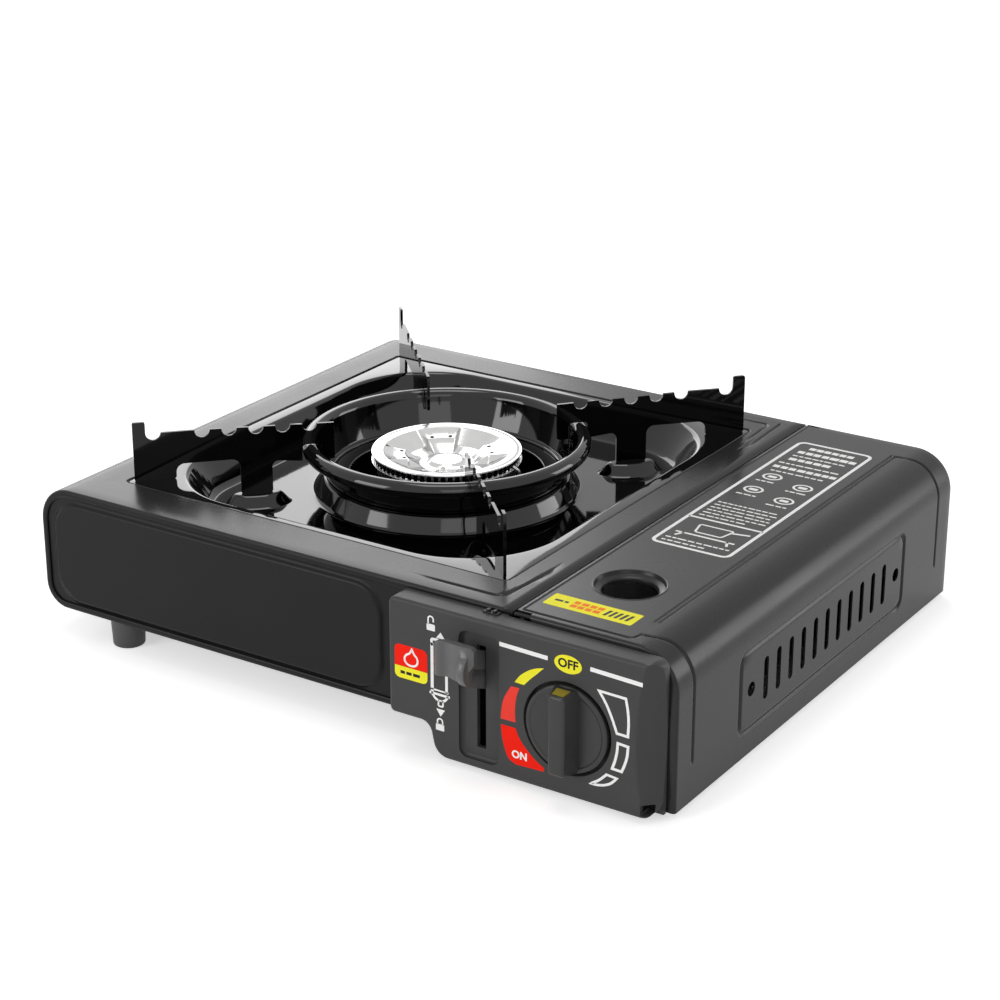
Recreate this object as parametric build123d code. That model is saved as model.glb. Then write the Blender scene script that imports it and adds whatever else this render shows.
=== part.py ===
"""Butane cassette stove: a folded sheet body with a single burner and a flip-up cartridge compartment.

Millimetres.  +X runs to the right as the user faces the controls, +Y runs to the back, +Z is up.
The origin is on the ground under the middle of the body.
"""
from math import atan2, cos, degrees, hypot, radians, sin, sqrt
import os

from build123d import *

# ---- overall body -----------------------------------------------------------------------------
body_width = 340.0
body_depth = 268.0
body_height = 73.7
sheet = 0.8                    # steel sheet of the body, lid, plates and tray
seat_gap = 0.3                 # gap that keeps curved or moving faces apart
pin_clearance = 0.05           # radial clearance of pins and shafts in their holes
left_foot_height = 13.2        # the cooking side stands on tall feet
right_foot_height = 2.5        # the cartridge side nearly reaches the ground
top_left_radius = 17.0
bottom_left_radius = 12.0
lid_radius = 18.6
rim_width = 3.5                # return flange round the body's front and rear edges
lid_width = 78.0               # from the seam to the right side
left = -body_width / 2
right = body_width / 2
front = -body_depth / 2
rear = body_depth / 2
seam_x = right - lid_width

# ---- recess for the drip tray -----------------------------------------------------------------
recess_left_margin = 31.2
recess_right_margin = 19.0
recess_front_margin = 24.45
recess_rear_margin = 22.65
recess_width = seam_x - left - recess_left_margin - recess_right_margin
recess_depth = body_depth - recess_front_margin - recess_rear_margin
burner_x = left + recess_left_margin + recess_width / 2
burner_y = front + recess_front_margin + recess_depth / 2
recess_radius = 3.0
recess_ledge = 4.2
recess_drop = 1.2

# ---- front and rear plates --------------------------------------------------------------------
field_side_margin = 3.5        # from the rim's inner edge to the pressed field
field_low_margin = 0.5
field_right = seam_x - 66.0
field_top = body_height - 4.7
field_radius = 15.0
field_rise = 1.5
field_slope = 40.0             # degrees between the field's edge and the pressing direction
rear_vent_count = 7
rear_vent_pitch = 14.0
rear_vent_length = 24.0
rear_vent_width = 3.5

# ---- lid --------------------------------------------------------------------------------------
seam_gap = 1.0
lid_lip = 5.5
lid_skirt_clearance = 0.1      # the lid's side stops this far above the tub's underside
hinge_inset = 4.5              # hinge pin to the seam
hinge_drop = 3.2               # hinge pin below the body's top
hinge_pin_radius = 1.5
hinge_head_radius = 2.1
hinge_ear_radius = 4.4
hinge_relief = 1.0             # cut-back of the body's rim beside the lid's hinge
hinge_slot = 3.5               # slot in the lid's top past the hinge pin, where it swings through the plate
window_x = seam_x + 26.5
window_y = front + 49.6
window_rim_radius = 15.9
window_radius = 11.5
window_drop = 2.8
vent_count = 11
vent_pitch = 11.7
vent_centre_y = 1.7
vent_centre_z = 32.9
vent_height = 19.8
vent_width = 3.5
vent_hole_radius = 3.25
vent_hole_offset = 71.8        # round holes, from the middle of the slots

# ---- cartridge compartment --------------------------------------------------------------------
cartridge_radius = 33.5
cartridge_clearance = 1.7
cartridge_x = right - 38.8
cartridge_front = front + 46.0 # where the cartridge's round wall starts
cartridge_length = 180.0
tub_lip_height = 9.0
partition_top = 64.5
rail_offset = 16.0
rail_length = 150.0
rail_thickness = 1.2

# ---- control panel ----------------------------------------------------------------------------
panel_left = seam_x - 55.8
panel_right = right - 3.7
panel_top = body_height - 2.2
panel_step_z = 17.5
panel_step_left = seam_x - 39.0
panel_step_right = seam_x - 26.2
panel_proud = 11.0             # how far its face stands in front of the body
panel_wall = 2.2
panel_edge = 1.6
facet_x = right - 10.4
facet_angle = 47.0
facet_bulge_radius = 200.0
well_radius = 21.0
well_depth = 4.6
channel_left = seam_x - 20.0
channel_right = seam_x
channel_bottom = 6.5
channel_top = 65.0
channel_depth = 2.2
channel_blend = 1.4            # radius between the channel's floor and its sides
lever_slot_width = 4.4
lever_slot_bottom = 11.8
lever_slot_top = 59.1
panel_screw_radius = 1.5
panel_screw_head = 2.8
pocket_screw_head = 2.1
pocket_reach = 2.4             # half width of the pocket round the panel's lower screw
lug_thickness = 3.8

# ---- knob, spindle and igniter ----------------------------------------------------------------
knob_x = seam_x + 33.0
knob_z = 33.6
knob_radius = 19.5
knob_thickness = 2.9
knob_rise = 1.2                # the disc's face stands this far in front of the panel's face
grip_width = 7.8               # across the grip's front
grip_base_width = 13.0         # across its foot on the disc
grip_length = 36.0
grip_base_length = 38.0
grip_height = 7.8
knob_turn = 135.0
spindle_radius = 3.0
knob_hub_radius = 7.0
knob_hub_length = 4.0
cam_base_radius = 9.0
cam_rise_per_radian = 2.0
cam_thickness = 4.0
cam_front = -130.0
plunger_radius = 3.0
plunger_head_radius = 3.4
plunger_head_length = 3.0
plunger_length = 15.7
igniter_left = right - 24.0
igniter_length = 20.0
igniter_height = 15.5
igniter_thickness = 10.8

# ---- valve ------------------------------------------------------------------------------------
bulkhead_y = front + 30.0
bulkhead_thickness = 1.2
valve_width = 28.0
valve_depth = 18.0
valve_height = 28.0
port_radius = 2.1
port_depth = 15.0
port_boss_radius = 8.0
port_boss_length = 7.0
cover_thickness = 2.2
gas_pipe_radius = 2.0
gas_pipe_turn_x = seam_x + 10.0
injector_y = front + 42.0
injector_z = 30.0
injector_radius = 4.0
injector_flange_radius = 6.5
injector_flange_length = 5.0
injector_length = 13.0

# ---- burner -----------------------------------------------------------------------------------
mixing_radius = 8.0
mixing_wall = 1.0
mixing_bend = 18.0
bracket_top = 51.2
bracket_sheet = 1.2
bracket_reach = 46.0
bracket_width = 30.0
burner_base_radius = 33.5
burner_base_wall = 2.0
burner_cap_radius = 36.1
burner_cap_top = 77.1
burner_skirt = 5.0
burner_slot_count = 66
burner_slot_width = 1.9
electrode_radius = 2.5
electrode_offset = 41.3
electrode_bottom = 38.0
electrode_top = 69.0

# ---- drip tray, windshield ring and pan blades ------------------------------------------------
tray_gap = 0.4
dish_half_width = recess_width / 2 - 7.9
dish_half_depth = recess_depth / 2 - 5.45
dish_radius = 47.0
dish_floor = 57.5
dish_taper = 32.0
tray_hole_radius = 46.5
collar_radius = 59.0
collar_top = 66.2
boss_length = 34.0
boss_width = 20.0
boss_distance = 91.5
boss_top = 62.8
ring_rim_radius = 65.4
ring_tube_radius = 3.9
ring_rim_z = 80.85
ring_foot_radius = 57.0
ring_foot_width = 3.0
ring_wall = 0.8
blade_thickness = 1.4
blade_tip_inset = 3.15         # from the recess's corner to the blade's outer edge, along each side
blade_tip_x = recess_width / 2 - blade_tip_inset
blade_tip_y = recess_depth / 2 - blade_tip_inset
blade_outer = hypot(blade_tip_x, blade_tip_y)
blade_inner = 54.2
hook_width = 6.0
hook_top = 102.3
blade_top = 96.6
notch_radius = 3.5
notch_centre = 139.0
tooth_pitch = 12.6
tooth_first = 116.3
tooth_count = 5
blade_leg_outer = 99.0
blade_leg_inner = 84.0
blade_window_top = 80.5
blade_base_inner = 129.0

# ---- lock lever and cartridge slide -----------------------------------------------------------
lever_x = seam_x - 10.0
lever_y = front + 20.0
lever_z = 35.5
lever_swing = 48.0
lever_thickness = 3.6
lever_arm_width = 16.0
lever_reach = 40.0
lever_hub_radius = 7.0
lever_pin_radius = 2.0
lever_bracket_width = 9.6
drive_radius = 8.0             # drive pin above the lever's pivot
drive_pin_radius = 2.0
drive_clearance = 0.25
drive_linear = 1.045           # slide travel per radian of lever, as a share of the drive radius
paddle_reach_left = 16.4       # thumb paddle, from the lever's middle
paddle_reach_right = 2.6
paddle_height = 15.0
slide_thickness = 1.2
slide_bottom = 38.0
slide_top = 56.0
slide_hook_reach = 27.0
guide_length = 10.0
guide_wall = 1.0

# ---- feet and fasteners -----------------------------------------------------------------------
foot_radius = 8.1
foot_x = left + 42.0
foot_inset = 9.0
pad_radius = 7.0
pad_x = right - 20.0
pad_inset = 14.0

# ---- ignition lead ----------------------------------------------------------------------------
lead_radius = 1.25
lead_bend = 6.0
clip_length = 7.0

# ---- derived places ---------------------------------------------------------------------------
plate_front = front + sheet
plate_rear = rear - sheet
inside_front = plate_front + sheet
inside_rear = plate_rear - sheet
floor_left = left_foot_height + sheet
floor_right = right_foot_height + sheet
seam_left = seam_x - seam_gap / 2
seam_right = seam_x + seam_gap / 2
partition_right = seam_x
partition_left = seam_x - sheet
hinge_x = seam_x + hinge_inset
hinge_z = body_height - hinge_drop
cartridge_z = floor_right + cartridge_clearance + cartridge_radius
panel_face = front - panel_proud
bulkhead_rear = bulkhead_y + bulkhead_thickness
bulkhead_top = partition_top - 4.0
tray_top = body_height - recess_drop + sheet
field_left = left + rim_width + field_side_margin
field_bottom = left_foot_height + rim_width + field_low_margin
mid_swing = lever_swing / 2
plate_step_left = panel_step_left + 6.0
plate_step_right = panel_step_right + 2.0


# ---- drawing helpers --------------------------------------------------------------------------
def outline(corners):
    """Face inside a closed outline; each corner is (x, y, radius)."""
    face = make_face(Polyline(*[(x, y) for x, y, _ in corners], close=True))
    for x, y, radius in corners:
        if radius > 0:
            vertex = face.vertices().sort_by_distance((x, y, 0))[0]
            face = fillet(vertex, radius)
    return face


def box_outline(x0, y0, x1, y1, radius=0.0):
    """Rectangle between two corners, with all four corners rounded alike."""
    return outline([(x0, y0, radius), (x1, y0, radius), (x1, y1, radius), (x0, y1, radius)])


def front_prism(face, y0, y1):
    """Front-view face (x, z) pushed from depth y0 to depth y1."""
    return extrude(Plane.XZ.offset(-y1) * face, amount=y1 - y0)


def side_prism(face, x0, x1):
    """Side-view face (y, z) pushed from x0 to x1."""
    return extrude(Plane.YZ.offset(x0) * face, amount=x1 - x0)


def top_prism(face, z0, z1):
    """Top-view face (x, y) pushed from z0 to z1."""
    return extrude(Plane.XY.offset(z0) * face, amount=z1 - z0)


def block(x0, x1, y0, y1, z0, z1):
    """Plain box between two corners."""
    size = Box(x1 - x0, y1 - y0, z1 - z0)
    return Pos((x0 + x1) / 2, (y0 + y1) / 2, (z0 + z1) / 2) * size


def rod_y(x, z, radius, y0, y1):
    """Round bar along Y."""
    return Pos(x, (y0 + y1) / 2, z) * Rot(90, 0, 0) * Cylinder(radius, y1 - y0)


def rod_x(y, z, radius, x0, x1):
    """Round bar along X."""
    return Pos((x0 + x1) / 2, y, z) * Rot(0, 90, 0) * Cylinder(radius, x1 - x0)


def rod_z(x, y, radius, z0, z1):
    """Round bar along Z."""
    return Pos(x, y, (z0 + z1) / 2) * Cylinder(radius, z1 - z0)


def turned(points):
    """Ring turned about the burner's axis from a closed (radius, z) outline."""
    profile = make_face(Plane.XZ * Polyline(*points, close=True))
    return Pos(burner_x, burner_y, 0) * revolve(profile, Axis.Z)


def tube_along(points, bend, radius):
    """Round bar along straight runs joined by tangent arcs."""
    path = FilletPolyline(*points, radius=bend)
    start = Plane(origin=path @ 0, z_dir=path % 0)
    return sweep(start * Circle(radius), path=path)


# ---- body -------------------------------------------------------------------------------------
def shell_profile(inset, right_end):
    """Front view of the cooking side's folded sheet, shrunk by inset on its three closed sides."""
    return outline([
        (right_end, body_height - inset, 0),
        (left + inset, body_height - inset, top_left_radius - inset),
        (left + inset, left_foot_height + inset, bottom_left_radius - min(inset, bottom_left_radius - 1)),
        (right_end, left_foot_height + inset, 0),
    ])


def recess_box(margin, z0, z1):
    """Rounded block over the tray's recess, larger by margin on each side."""
    half_x = recess_width / 2 + margin
    half_y = recess_depth / 2 + margin
    face = Pos(burner_x, burner_y) * box_outline(
        -half_x, -half_y, half_x, half_y, max(recess_radius + margin, 1.0))
    return top_prism(face, z0, z1)


def body_shell():
    """Top, left side and underside folded from one sheet, with a joggled recess for the tray."""
    shell = front_prism(shell_profile(0, seam_left), front, rear)
    shell -= front_prism(shell_profile(sheet, right), plate_front, plate_rear)
    shell -= front_prism(shell_profile(rim_width, right), front - 1, rear + 1)
    shell -= block(partition_left, seam_x, front, rear, 0, body_height / 2)
    shell -= block(plate_step_left - 1, seam_x, front - 1, inside_front, 0, body_height / 2)
    for y0 in (front - 1, plate_rear):
        shell -= block(seam_left - hinge_relief, seam_x, y0, y0 + 1 + sheet, hinge_z - 9, body_height - sheet)
    x, z = panel_screw_places()[0]
    shell -= rod_y(x, z, panel_screw_radius + 0.1, front - 1, plate_front + 0.1)
    ledge_top = body_height - recess_drop
    shell += recess_box(sheet, ledge_top - sheet, body_height)
    shell -= recess_box(0, ledge_top, body_height + 1)
    shell -= recess_box(-recess_ledge, ledge_top - 2 * sheet, body_height + 1)
    return shell


def plate_outline(step_left, step_right):
    """Front view of an end plate; its underside steps down between the two given places."""
    edge = 0.5
    return outline([
        (left + sheet + seat_gap, body_height - sheet - edge, top_left_radius - sheet - seat_gap),
        (right - sheet - edge, body_height - sheet - edge, lid_radius - sheet - edge),
        (right - sheet - edge, right_foot_height, 3.0),
        (step_right, right_foot_height, 0),
        (step_left, left_foot_height + sheet + seat_gap, 0),
        (left + sheet + seat_gap, left_foot_height + sheet + seat_gap, bottom_left_radius - sheet - seat_gap),
    ])


def pressed_field(face_y, direction):
    """Raised field of an end plate, standing out of the plane face_y towards direction (+1 or -1)."""
    face = box_outline(field_left, field_bottom, field_right, field_top, field_radius)
    return extrude(Plane.XZ.offset(-face_y) * face, amount=-direction * field_rise, taper=field_slope)


def front_plate():
    """Front wall of the body, with its raised field and the openings behind the control panel."""
    plate = front_prism(plate_outline(plate_step_left, plate_step_right), plate_front, inside_front)
    plate += pressed_field(plate_front, -1)
    plate -= pressed_field(inside_front, -1)
    plate -= rod_y(knob_x, knob_z, knob_hub_radius + 2, front - 1, inside_front + 1)
    slot = box_outline(lever_x - lever_slot_width / 2 - 1, lever_slot_bottom - 1,
                       lever_x + lever_slot_width / 2 + 1, lever_slot_top + 1)
    plate -= front_prism(slot, front - 1, inside_front + 1)
    plate -= rod_y(hinge_x, hinge_z, hinge_pin_radius + pin_clearance, front - 1, inside_front + 1)
    for x, z in panel_screw_places():
        plate -= rod_y(x, z, panel_screw_radius + 0.1, front - 1, inside_front + 1)
    return plate


def rear_plate():
    """Rear wall of the body, with its raised field and a row of vents."""
    plate = front_prism(plate_outline(partition_left, partition_left), inside_rear, plate_rear)
    plate += pressed_field(plate_rear, 1)
    plate -= pressed_field(inside_rear, 1)
    plate -= rod_y(hinge_x, hinge_z, hinge_pin_radius + pin_clearance, inside_rear - 1, rear + 1)
    middle_x = (field_left + field_right) / 2
    middle_z = (field_bottom + field_top) / 2
    for i in range(rear_vent_count):
        x = middle_x + (i - (rear_vent_count - 1) / 2) * rear_vent_pitch
        vent = box_outline(x - rear_vent_width / 2, middle_z - rear_vent_length / 2,
                           x + rear_vent_width / 2, middle_z + rear_vent_length / 2,
                           rear_vent_width / 2 - 0.01)
        plate -= front_prism(vent, inside_rear - 1, rear + 5)
    return plate


# ---- lid --------------------------------------------------------------------------------------
lid_front = front - seat_gap
lid_rear = rear + seat_gap
lid_bottom = right_foot_height + lid_skirt_clearance


def lid_profile(inset, left_end, bottom):
    """Front view of the lid's folded sheet, shrunk by inset at its top and right side."""
    return outline([
        (left_end, body_height - inset, 0),
        (right - inset, body_height - inset, lid_radius - inset),
        (right - inset, bottom, 0),
        (left_end, bottom, 0),
    ])


def window_funnel(extra):
    """Cone of the viewing window, from its rolled rim down to its edge, grown by extra."""
    top_z = body_height + 0.01
    cone = Cone(window_radius + extra, window_rim_radius + extra, window_drop)
    return Pos(window_x, window_y, top_z - window_drop / 2) * cone


def lid():
    """Cartridge cover: top and right side folded from one sheet, with lips, vents and hinge ears."""
    cover = front_prism(lid_profile(0, seam_right, lid_bottom), lid_front, lid_rear)
    cover -= front_prism(lid_profile(sheet, 0, -1), lid_front + sheet, lid_rear - sheet)
    cover -= front_prism(lid_profile(lid_lip, 0, -1), lid_front - 1, lid_rear + 1)
    slot_depth = seat_gap + 2 * sheet
    for y0 in (lid_front + sheet, lid_rear - sheet - slot_depth):
        cover -= block(seam_left, hinge_x + hinge_slot, y0, y0 + slot_depth, body_height - 2 * sheet,
                       body_height + 1)
    for y0 in (lid_front, lid_rear - sheet):
        cover += rod_y(hinge_x, hinge_z, hinge_ear_radius, y0, y0 + sheet)
        above = block(hinge_x - 9, hinge_x + 9, y0 - 1, y0 + sheet + 1, body_height, body_height + 9)
        beside = block(hinge_x - 9, seam_right, y0 - 1, y0 + sheet + 1, hinge_z - 9, body_height)
        cover -= above
        cover -= beside
        cover -= rod_y(hinge_x, hinge_z, hinge_pin_radius + pin_clearance, y0 - 1, y0 + sheet + 1)
    cover += window_funnel(sheet)
    cover -= block(window_x - 20, window_x + 20, window_y - 20, window_y + 20, body_height, body_height + 1)
    cover -= window_funnel(0)
    cover -= rod_z(window_x, window_y, window_radius, 0, body_height)
    for i in range(vent_count):
        y = vent_centre_y + (i - (vent_count - 1) / 2) * vent_pitch
        vent = box_outline(y - vent_width / 2, vent_centre_z - vent_height / 2,
                           y + vent_width / 2, vent_centre_z + vent_height / 2, vent_width / 2 - 0.01)
        cover -= side_prism(vent, right - 2, right + 1)
    for side in (-1, 1):
        cover -= rod_x(vent_centre_y + side * vent_hole_offset, vent_centre_z, vent_hole_radius,
                       right - 2, right + 1)
    return cover


def hinge_pin(end):
    """Riveted pin of one lid ear; end is -1 at the front and +1 at the rear."""
    outer = abs(lid_front) + seat_gap
    inner = inside_rear
    head = inner - 1.2
    pin = rod_y(hinge_x, hinge_z, hinge_pin_radius, inner, outer)
    pin += rod_y(hinge_x, hinge_z, hinge_head_radius, head, inner)
    return pin if end > 0 else mirror(pin, Plane.XZ)


# ---- cartridge compartment --------------------------------------------------------------------
def cartridge_tub():
    """Floor of the cartridge compartment, with a low upturned edge along the lid."""
    edge = right - sheet - 0.6
    floor = block(partition_left, edge, inside_front, inside_rear, right_foot_height, floor_right)
    floor += block(edge - sheet, edge, inside_front, inside_rear,
                   right_foot_height, right_foot_height + tub_lip_height)
    return floor


def partition():
    """Heat shield between the burner and the cartridge, open at the front for lever, pipe and lead."""
    wall = block(partition_left, partition_right, inside_front, inside_rear, floor_right, partition_top)
    wall -= block(partition_left - 1, partition_right + 1, inside_front + 6, bulkhead_rear, floor_left + 1,
                  bulkhead_top)
    wall -= rod_x(injector_y, injector_z, injector_radius + pin_clearance, seam_x - 5, seam_x + 5)
    return wall


def cradle_rails():
    """Two rails that carry the cartridge above the tub floor."""
    rails = []
    top = cartridge_z - sqrt(cartridge_radius ** 2 - (rail_offset + rail_thickness) ** 2) - 0.1
    middle = cartridge_front + cartridge_length / 2
    for side in (-1, 1):
        x = cartridge_x + side * rail_offset
        rail = block(x - rail_thickness / 2, x + rail_thickness / 2, middle - rail_length / 2,
                     middle + rail_length / 2, floor_right, top)
        rail += block(min(x, x + side * 6), max(x, x + side * 6), middle - rail_length / 2,
                      middle + rail_length / 2, floor_right, floor_right + rail_thickness)
        rails.append(rail)
    return rails


# ---- control panel ----------------------------------------------------------------------------
def panel_screw_places():
    """Screws of the panel (x, z): one driven from inside the body, one from the front in a small pocket."""
    return [
        (seam_x - 11.5, panel_top - 2.8),
        (right - 7.8, right_foot_height + 3.7),
    ]


pocket_seat = front - lug_thickness + 1
blind_end = front - 5.5        # front end of the screw that is driven from inside


def facet_tool(inset):
    """Large drum that cuts the panel's right-hand facet, moved inwards by inset."""
    angle = radians(facet_angle)
    foot_point = Vector(facet_x, panel_face, (panel_top + right_foot_height) / 2)
    outwards = Vector(sin(angle), -cos(angle), 0)
    bulge = 1.6
    centre = foot_point + outwards * (facet_bulge_radius - inset - bulge)
    drum = Cylinder(facet_bulge_radius, 60)
    place = Plane(origin=centre, z_dir=(cos(angle), sin(angle), 0))
    return place * drum


def panel_form(inset, y0):
    """Outer form of the panel, shrunk by inset, from its face back to the body."""
    bottom = right_foot_height
    face = outline([
        (panel_left + inset, panel_top - inset, max(3.5 - inset, 0.8)),
        (panel_right - inset, panel_top - inset, max(4.0 - inset, 0.8)),
        (panel_right - inset, bottom + inset, max(7.0 - inset, 0.8)),
        (panel_step_right - 6 + inset, bottom + inset, 7.5 - inset),
        (panel_step_left + 3.5 + inset, panel_step_z + inset, 5.5 + inset),
        (panel_left + inset, panel_step_z + inset, max(2.5 - inset, 0.8)),
    ])
    form = front_prism(face, y0, front)
    return form - facet_tool(inset)


def panel_edges(form):
    """Edges round the panel's face."""
    return form.edges().filter_by(lambda e: abs(e.center().Y - panel_face) < 0.01)


def control_panel():
    """Moulded panel with a channel for the lock lever and a round well for the knob."""
    form = panel_form(0, panel_face)
    form = fillet(panel_edges(form), panel_edge)
    panel = form - panel_form(panel_wall, panel_face + panel_wall)
    wall = panel_wall
    well_floor = panel_face + well_depth
    channel_floor = panel_face + channel_depth
    inner = panel_face + wall / 2
    panel += rod_y(knob_x, knob_z, well_radius + wall, inner, well_floor + 2)
    panel += block(channel_left - wall, channel_right + wall, inner, channel_floor + wall,
                   channel_bottom - wall, channel_top + wall)
    x, z = panel_screw_places()[0]
    panel += block(x - 5, x + 5, inner, front, z - 3, z + 2)
    panel -= rod_y(x, z, panel_screw_radius + 0.1, blind_end - 0.2, front + 1)
    x, z = panel_screw_places()[1]
    panel += block(x - 5, panel_right, pocket_seat, front, right_foot_height, z + 3)
    pocket = box_outline(x - pocket_reach, z - pocket_reach, x + pocket_reach, z + pocket_reach, 0.6)
    panel -= front_prism(pocket, panel_face - 1, pocket_seat)
    panel -= rod_y(x, z, panel_screw_radius + 0.1, panel_face, front + 1)
    panel -= rod_y(knob_x, knob_z, well_radius, panel_face - 1, well_floor)
    panel -= rod_y(knob_x, knob_z, knob_hub_radius + 1, panel_face, front + 1)
    channel = front_prism(box_outline(channel_left, channel_bottom, channel_right, channel_top, 4.0),
                          panel_face - 1, channel_floor)
    panel -= fillet(channel.edges().group_by(Axis.Y)[-1], channel_blend)
    panel -= front_prism(box_outline(lever_x - lever_slot_width / 2, lever_slot_bottom,
                                     lever_x + lever_slot_width / 2, lever_slot_top, 0.5),
                         panel_face, front + 1)
    lip_space = lid_front - 2 * seat_gap
    panel -= block(seam_x - 2, right, lip_space, plate_front + 1, hinge_z - hinge_ear_radius - 1.5, body_height)
    panel -= block(right - sheet - lid_lip - 0.5, right, lip_space, plate_front + 1, 0, body_height)
    return panel


def panel_screws():
    """Two screws that hold the panel on the front plate."""
    x, z = panel_screw_places()[0]
    inside = rod_y(x, z, panel_screw_radius, blind_end, inside_front)
    inside += rod_y(x, z, panel_screw_head, inside_front, inside_front + 1.6)
    inside -= block(x - 0.4, x + 0.4, inside_front + 0.9, inside_front + 2, z - 4, z + 4)
    x, z = panel_screw_places()[1]
    outside = rod_y(x, z, panel_screw_radius, pocket_seat, inside_front + 1.5)
    outside += rod_y(x, z, pocket_screw_head, pocket_seat - 1.6, pocket_seat)
    outside -= block(x - 0.4, x + 0.4, pocket_seat - 2, pocket_seat - 0.9, z - 4, z + 4)
    return [inside, outside]


# ---- knob, spindle, cam and igniter -----------------------------------------------------------
disc_front = panel_face - knob_rise
disc_rear = disc_front + knob_thickness
knob_rear = disc_rear + knob_hub_length
spindle_front = disc_front - grip_height + 3.5
spindle_rear = bulkhead_y - 4.5


def grip_section(width, length, y):
    """Rounded outline of the grip in the front view at depth y."""
    face = box_outline(-width / 2, -length / 2, width / 2, length / 2, 2.6)
    return Plane.XZ.offset(-y) * (Pos(knob_x, knob_z) * face)


def gas_knob():
    """Round knob with a tapered grip bar and a blind bore for the spindle."""
    knob = rod_y(knob_x, knob_z, knob_radius, disc_front, disc_rear)
    knob = fillet(knob.edges().group_by(Axis.Y)[0], 1.0)
    foot = grip_section(grip_base_width, grip_base_length, disc_front + 0.5)
    tip = grip_section(grip_width, grip_length, disc_front - grip_height)
    grip = loft([foot, tip])
    grip = fillet(grip.edges().group_by(Axis.Y)[0], 1.2)
    knob += grip
    knob += rod_y(knob_x, knob_z, knob_hub_radius, disc_rear - 0.1, knob_rear)
    knob -= rod_y(knob_x, knob_z, spindle_radius + pin_clearance, spindle_front, knob_rear + 1)
    return knob


def valve_spindle():
    """Spindle from the knob into the valve."""
    return rod_y(knob_x, knob_z, spindle_radius, spindle_front, spindle_rear)


def cam_radius(turn):
    """Cam radius that faces the plunger after the knob has turned by the given angle in degrees."""
    return cam_base_radius + cam_rise_per_radian * radians(turn)


def igniter_cam():
    """Snail cam on the spindle; it pushes the plunger in as the knob turns to ON."""
    steps = 9
    rise = []
    for i in range(steps + 1):
        turn = (knob_turn + 12) * i / steps - 6
        angle = radians(-turn)
        rise.append((cam_radius(turn) * cos(angle), cam_radius(turn) * sin(angle)))
    back = []
    for turn in (190, 250, 310):
        angle = radians(-turn)
        back.append(((cam_base_radius - 1) * cos(angle), (cam_base_radius - 1) * sin(angle)))
    edge = Spline(*rise)
    relief = Spline(rise[-1], *back, rise[0])
    profile = Pos(knob_x, knob_z) * make_face([edge, relief])
    cam = front_prism(profile, cam_front, cam_front + cam_thickness)
    return cam - rod_y(knob_x, knob_z, spindle_radius + pin_clearance, cam_front - 1, cam_front + cam_thickness + 1)


plunger_y = cam_front + cam_thickness / 2
plunger_tip = knob_x + cam_base_radius + seat_gap


def igniter_plunger():
    """Spring-loaded plunger of the piezo igniter."""
    head = rod_x(plunger_y, knob_z, plunger_head_radius, plunger_tip, plunger_tip + plunger_head_length)
    head = fillet(head.edges().group_by(Axis.X)[0], 1.5)
    return head + rod_x(plunger_y, knob_z, plunger_radius, plunger_tip + 1.6, plunger_tip + plunger_length)


def igniter_body():
    """Piezo igniter block, seated on the back of the front plate."""
    body = block(igniter_left, igniter_left + igniter_length, inside_front, inside_front + igniter_thickness,
                 knob_z - igniter_height / 2, knob_z + igniter_height / 2)
    travel = cam_rise_per_radian * radians(knob_turn)
    depth = plunger_tip + plunger_length + travel + 1
    return body - rod_x(plunger_y, knob_z, plunger_radius + pin_clearance, igniter_left - 1, depth)


# ---- valve ------------------------------------------------------------------------------------
valve_left = cartridge_x - valve_width / 2
valve_right = cartridge_x + valve_width / 2
valve_front = bulkhead_y - valve_depth
valve_bottom = cartridge_z - valve_height / 2 - 2
valve_top = cartridge_z + valve_height / 2 - 2


def valve_screw_places():
    """Two valve screws, at opposite corners of the valve."""
    return [(valve_left + 4, valve_top - 4), (valve_right - 4, valve_bottom + 4)]


def valve_body():
    """Cast valve and regulator body, with the port that takes the cartridge's nozzle."""
    body = block(valve_left, valve_right, valve_front, bulkhead_y, valve_bottom, valve_top)
    body = fillet(body.edges().filter_by(Axis.Y), 2.0)
    body += rod_y(cartridge_x, cartridge_z, port_boss_radius, bulkhead_y - 1, bulkhead_y + port_boss_length)
    mouth = bulkhead_y + port_boss_length
    body -= rod_y(cartridge_x, cartridge_z, port_radius, mouth - port_depth, mouth + 1)
    body -= rod_y(knob_x, knob_z, spindle_radius + pin_clearance, valve_front - 1, spindle_rear + 0.5)
    for x, z in valve_screw_places():
        body -= rod_y(x, z, panel_screw_radius + pin_clearance, bulkhead_y - 7, bulkhead_y + 1)
    return body


def regulator_cover():
    """Diaphragm cover on the front of the valve, round the spindle."""
    y0 = valve_front - cover_thickness
    cover = front_prism(box_outline(valve_left + 1, valve_bottom + 1, valve_right - 1, valve_top - 1, 5.0),
                        y0, valve_front)
    return cover - rod_y(knob_x, knob_z, spindle_radius + 0.5, y0 - 1, valve_front + 1)


def valve_screws():
    """Two screws through the bulkhead into the valve."""
    screws = []
    for x, z in valve_screw_places():
        screw = rod_y(x, z, panel_screw_radius, bulkhead_y - 6, bulkhead_rear)
        screw += rod_y(x, z, panel_screw_head, bulkhead_rear, bulkhead_rear + 1.6)
        screws.append(screw)
    return screws


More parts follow.
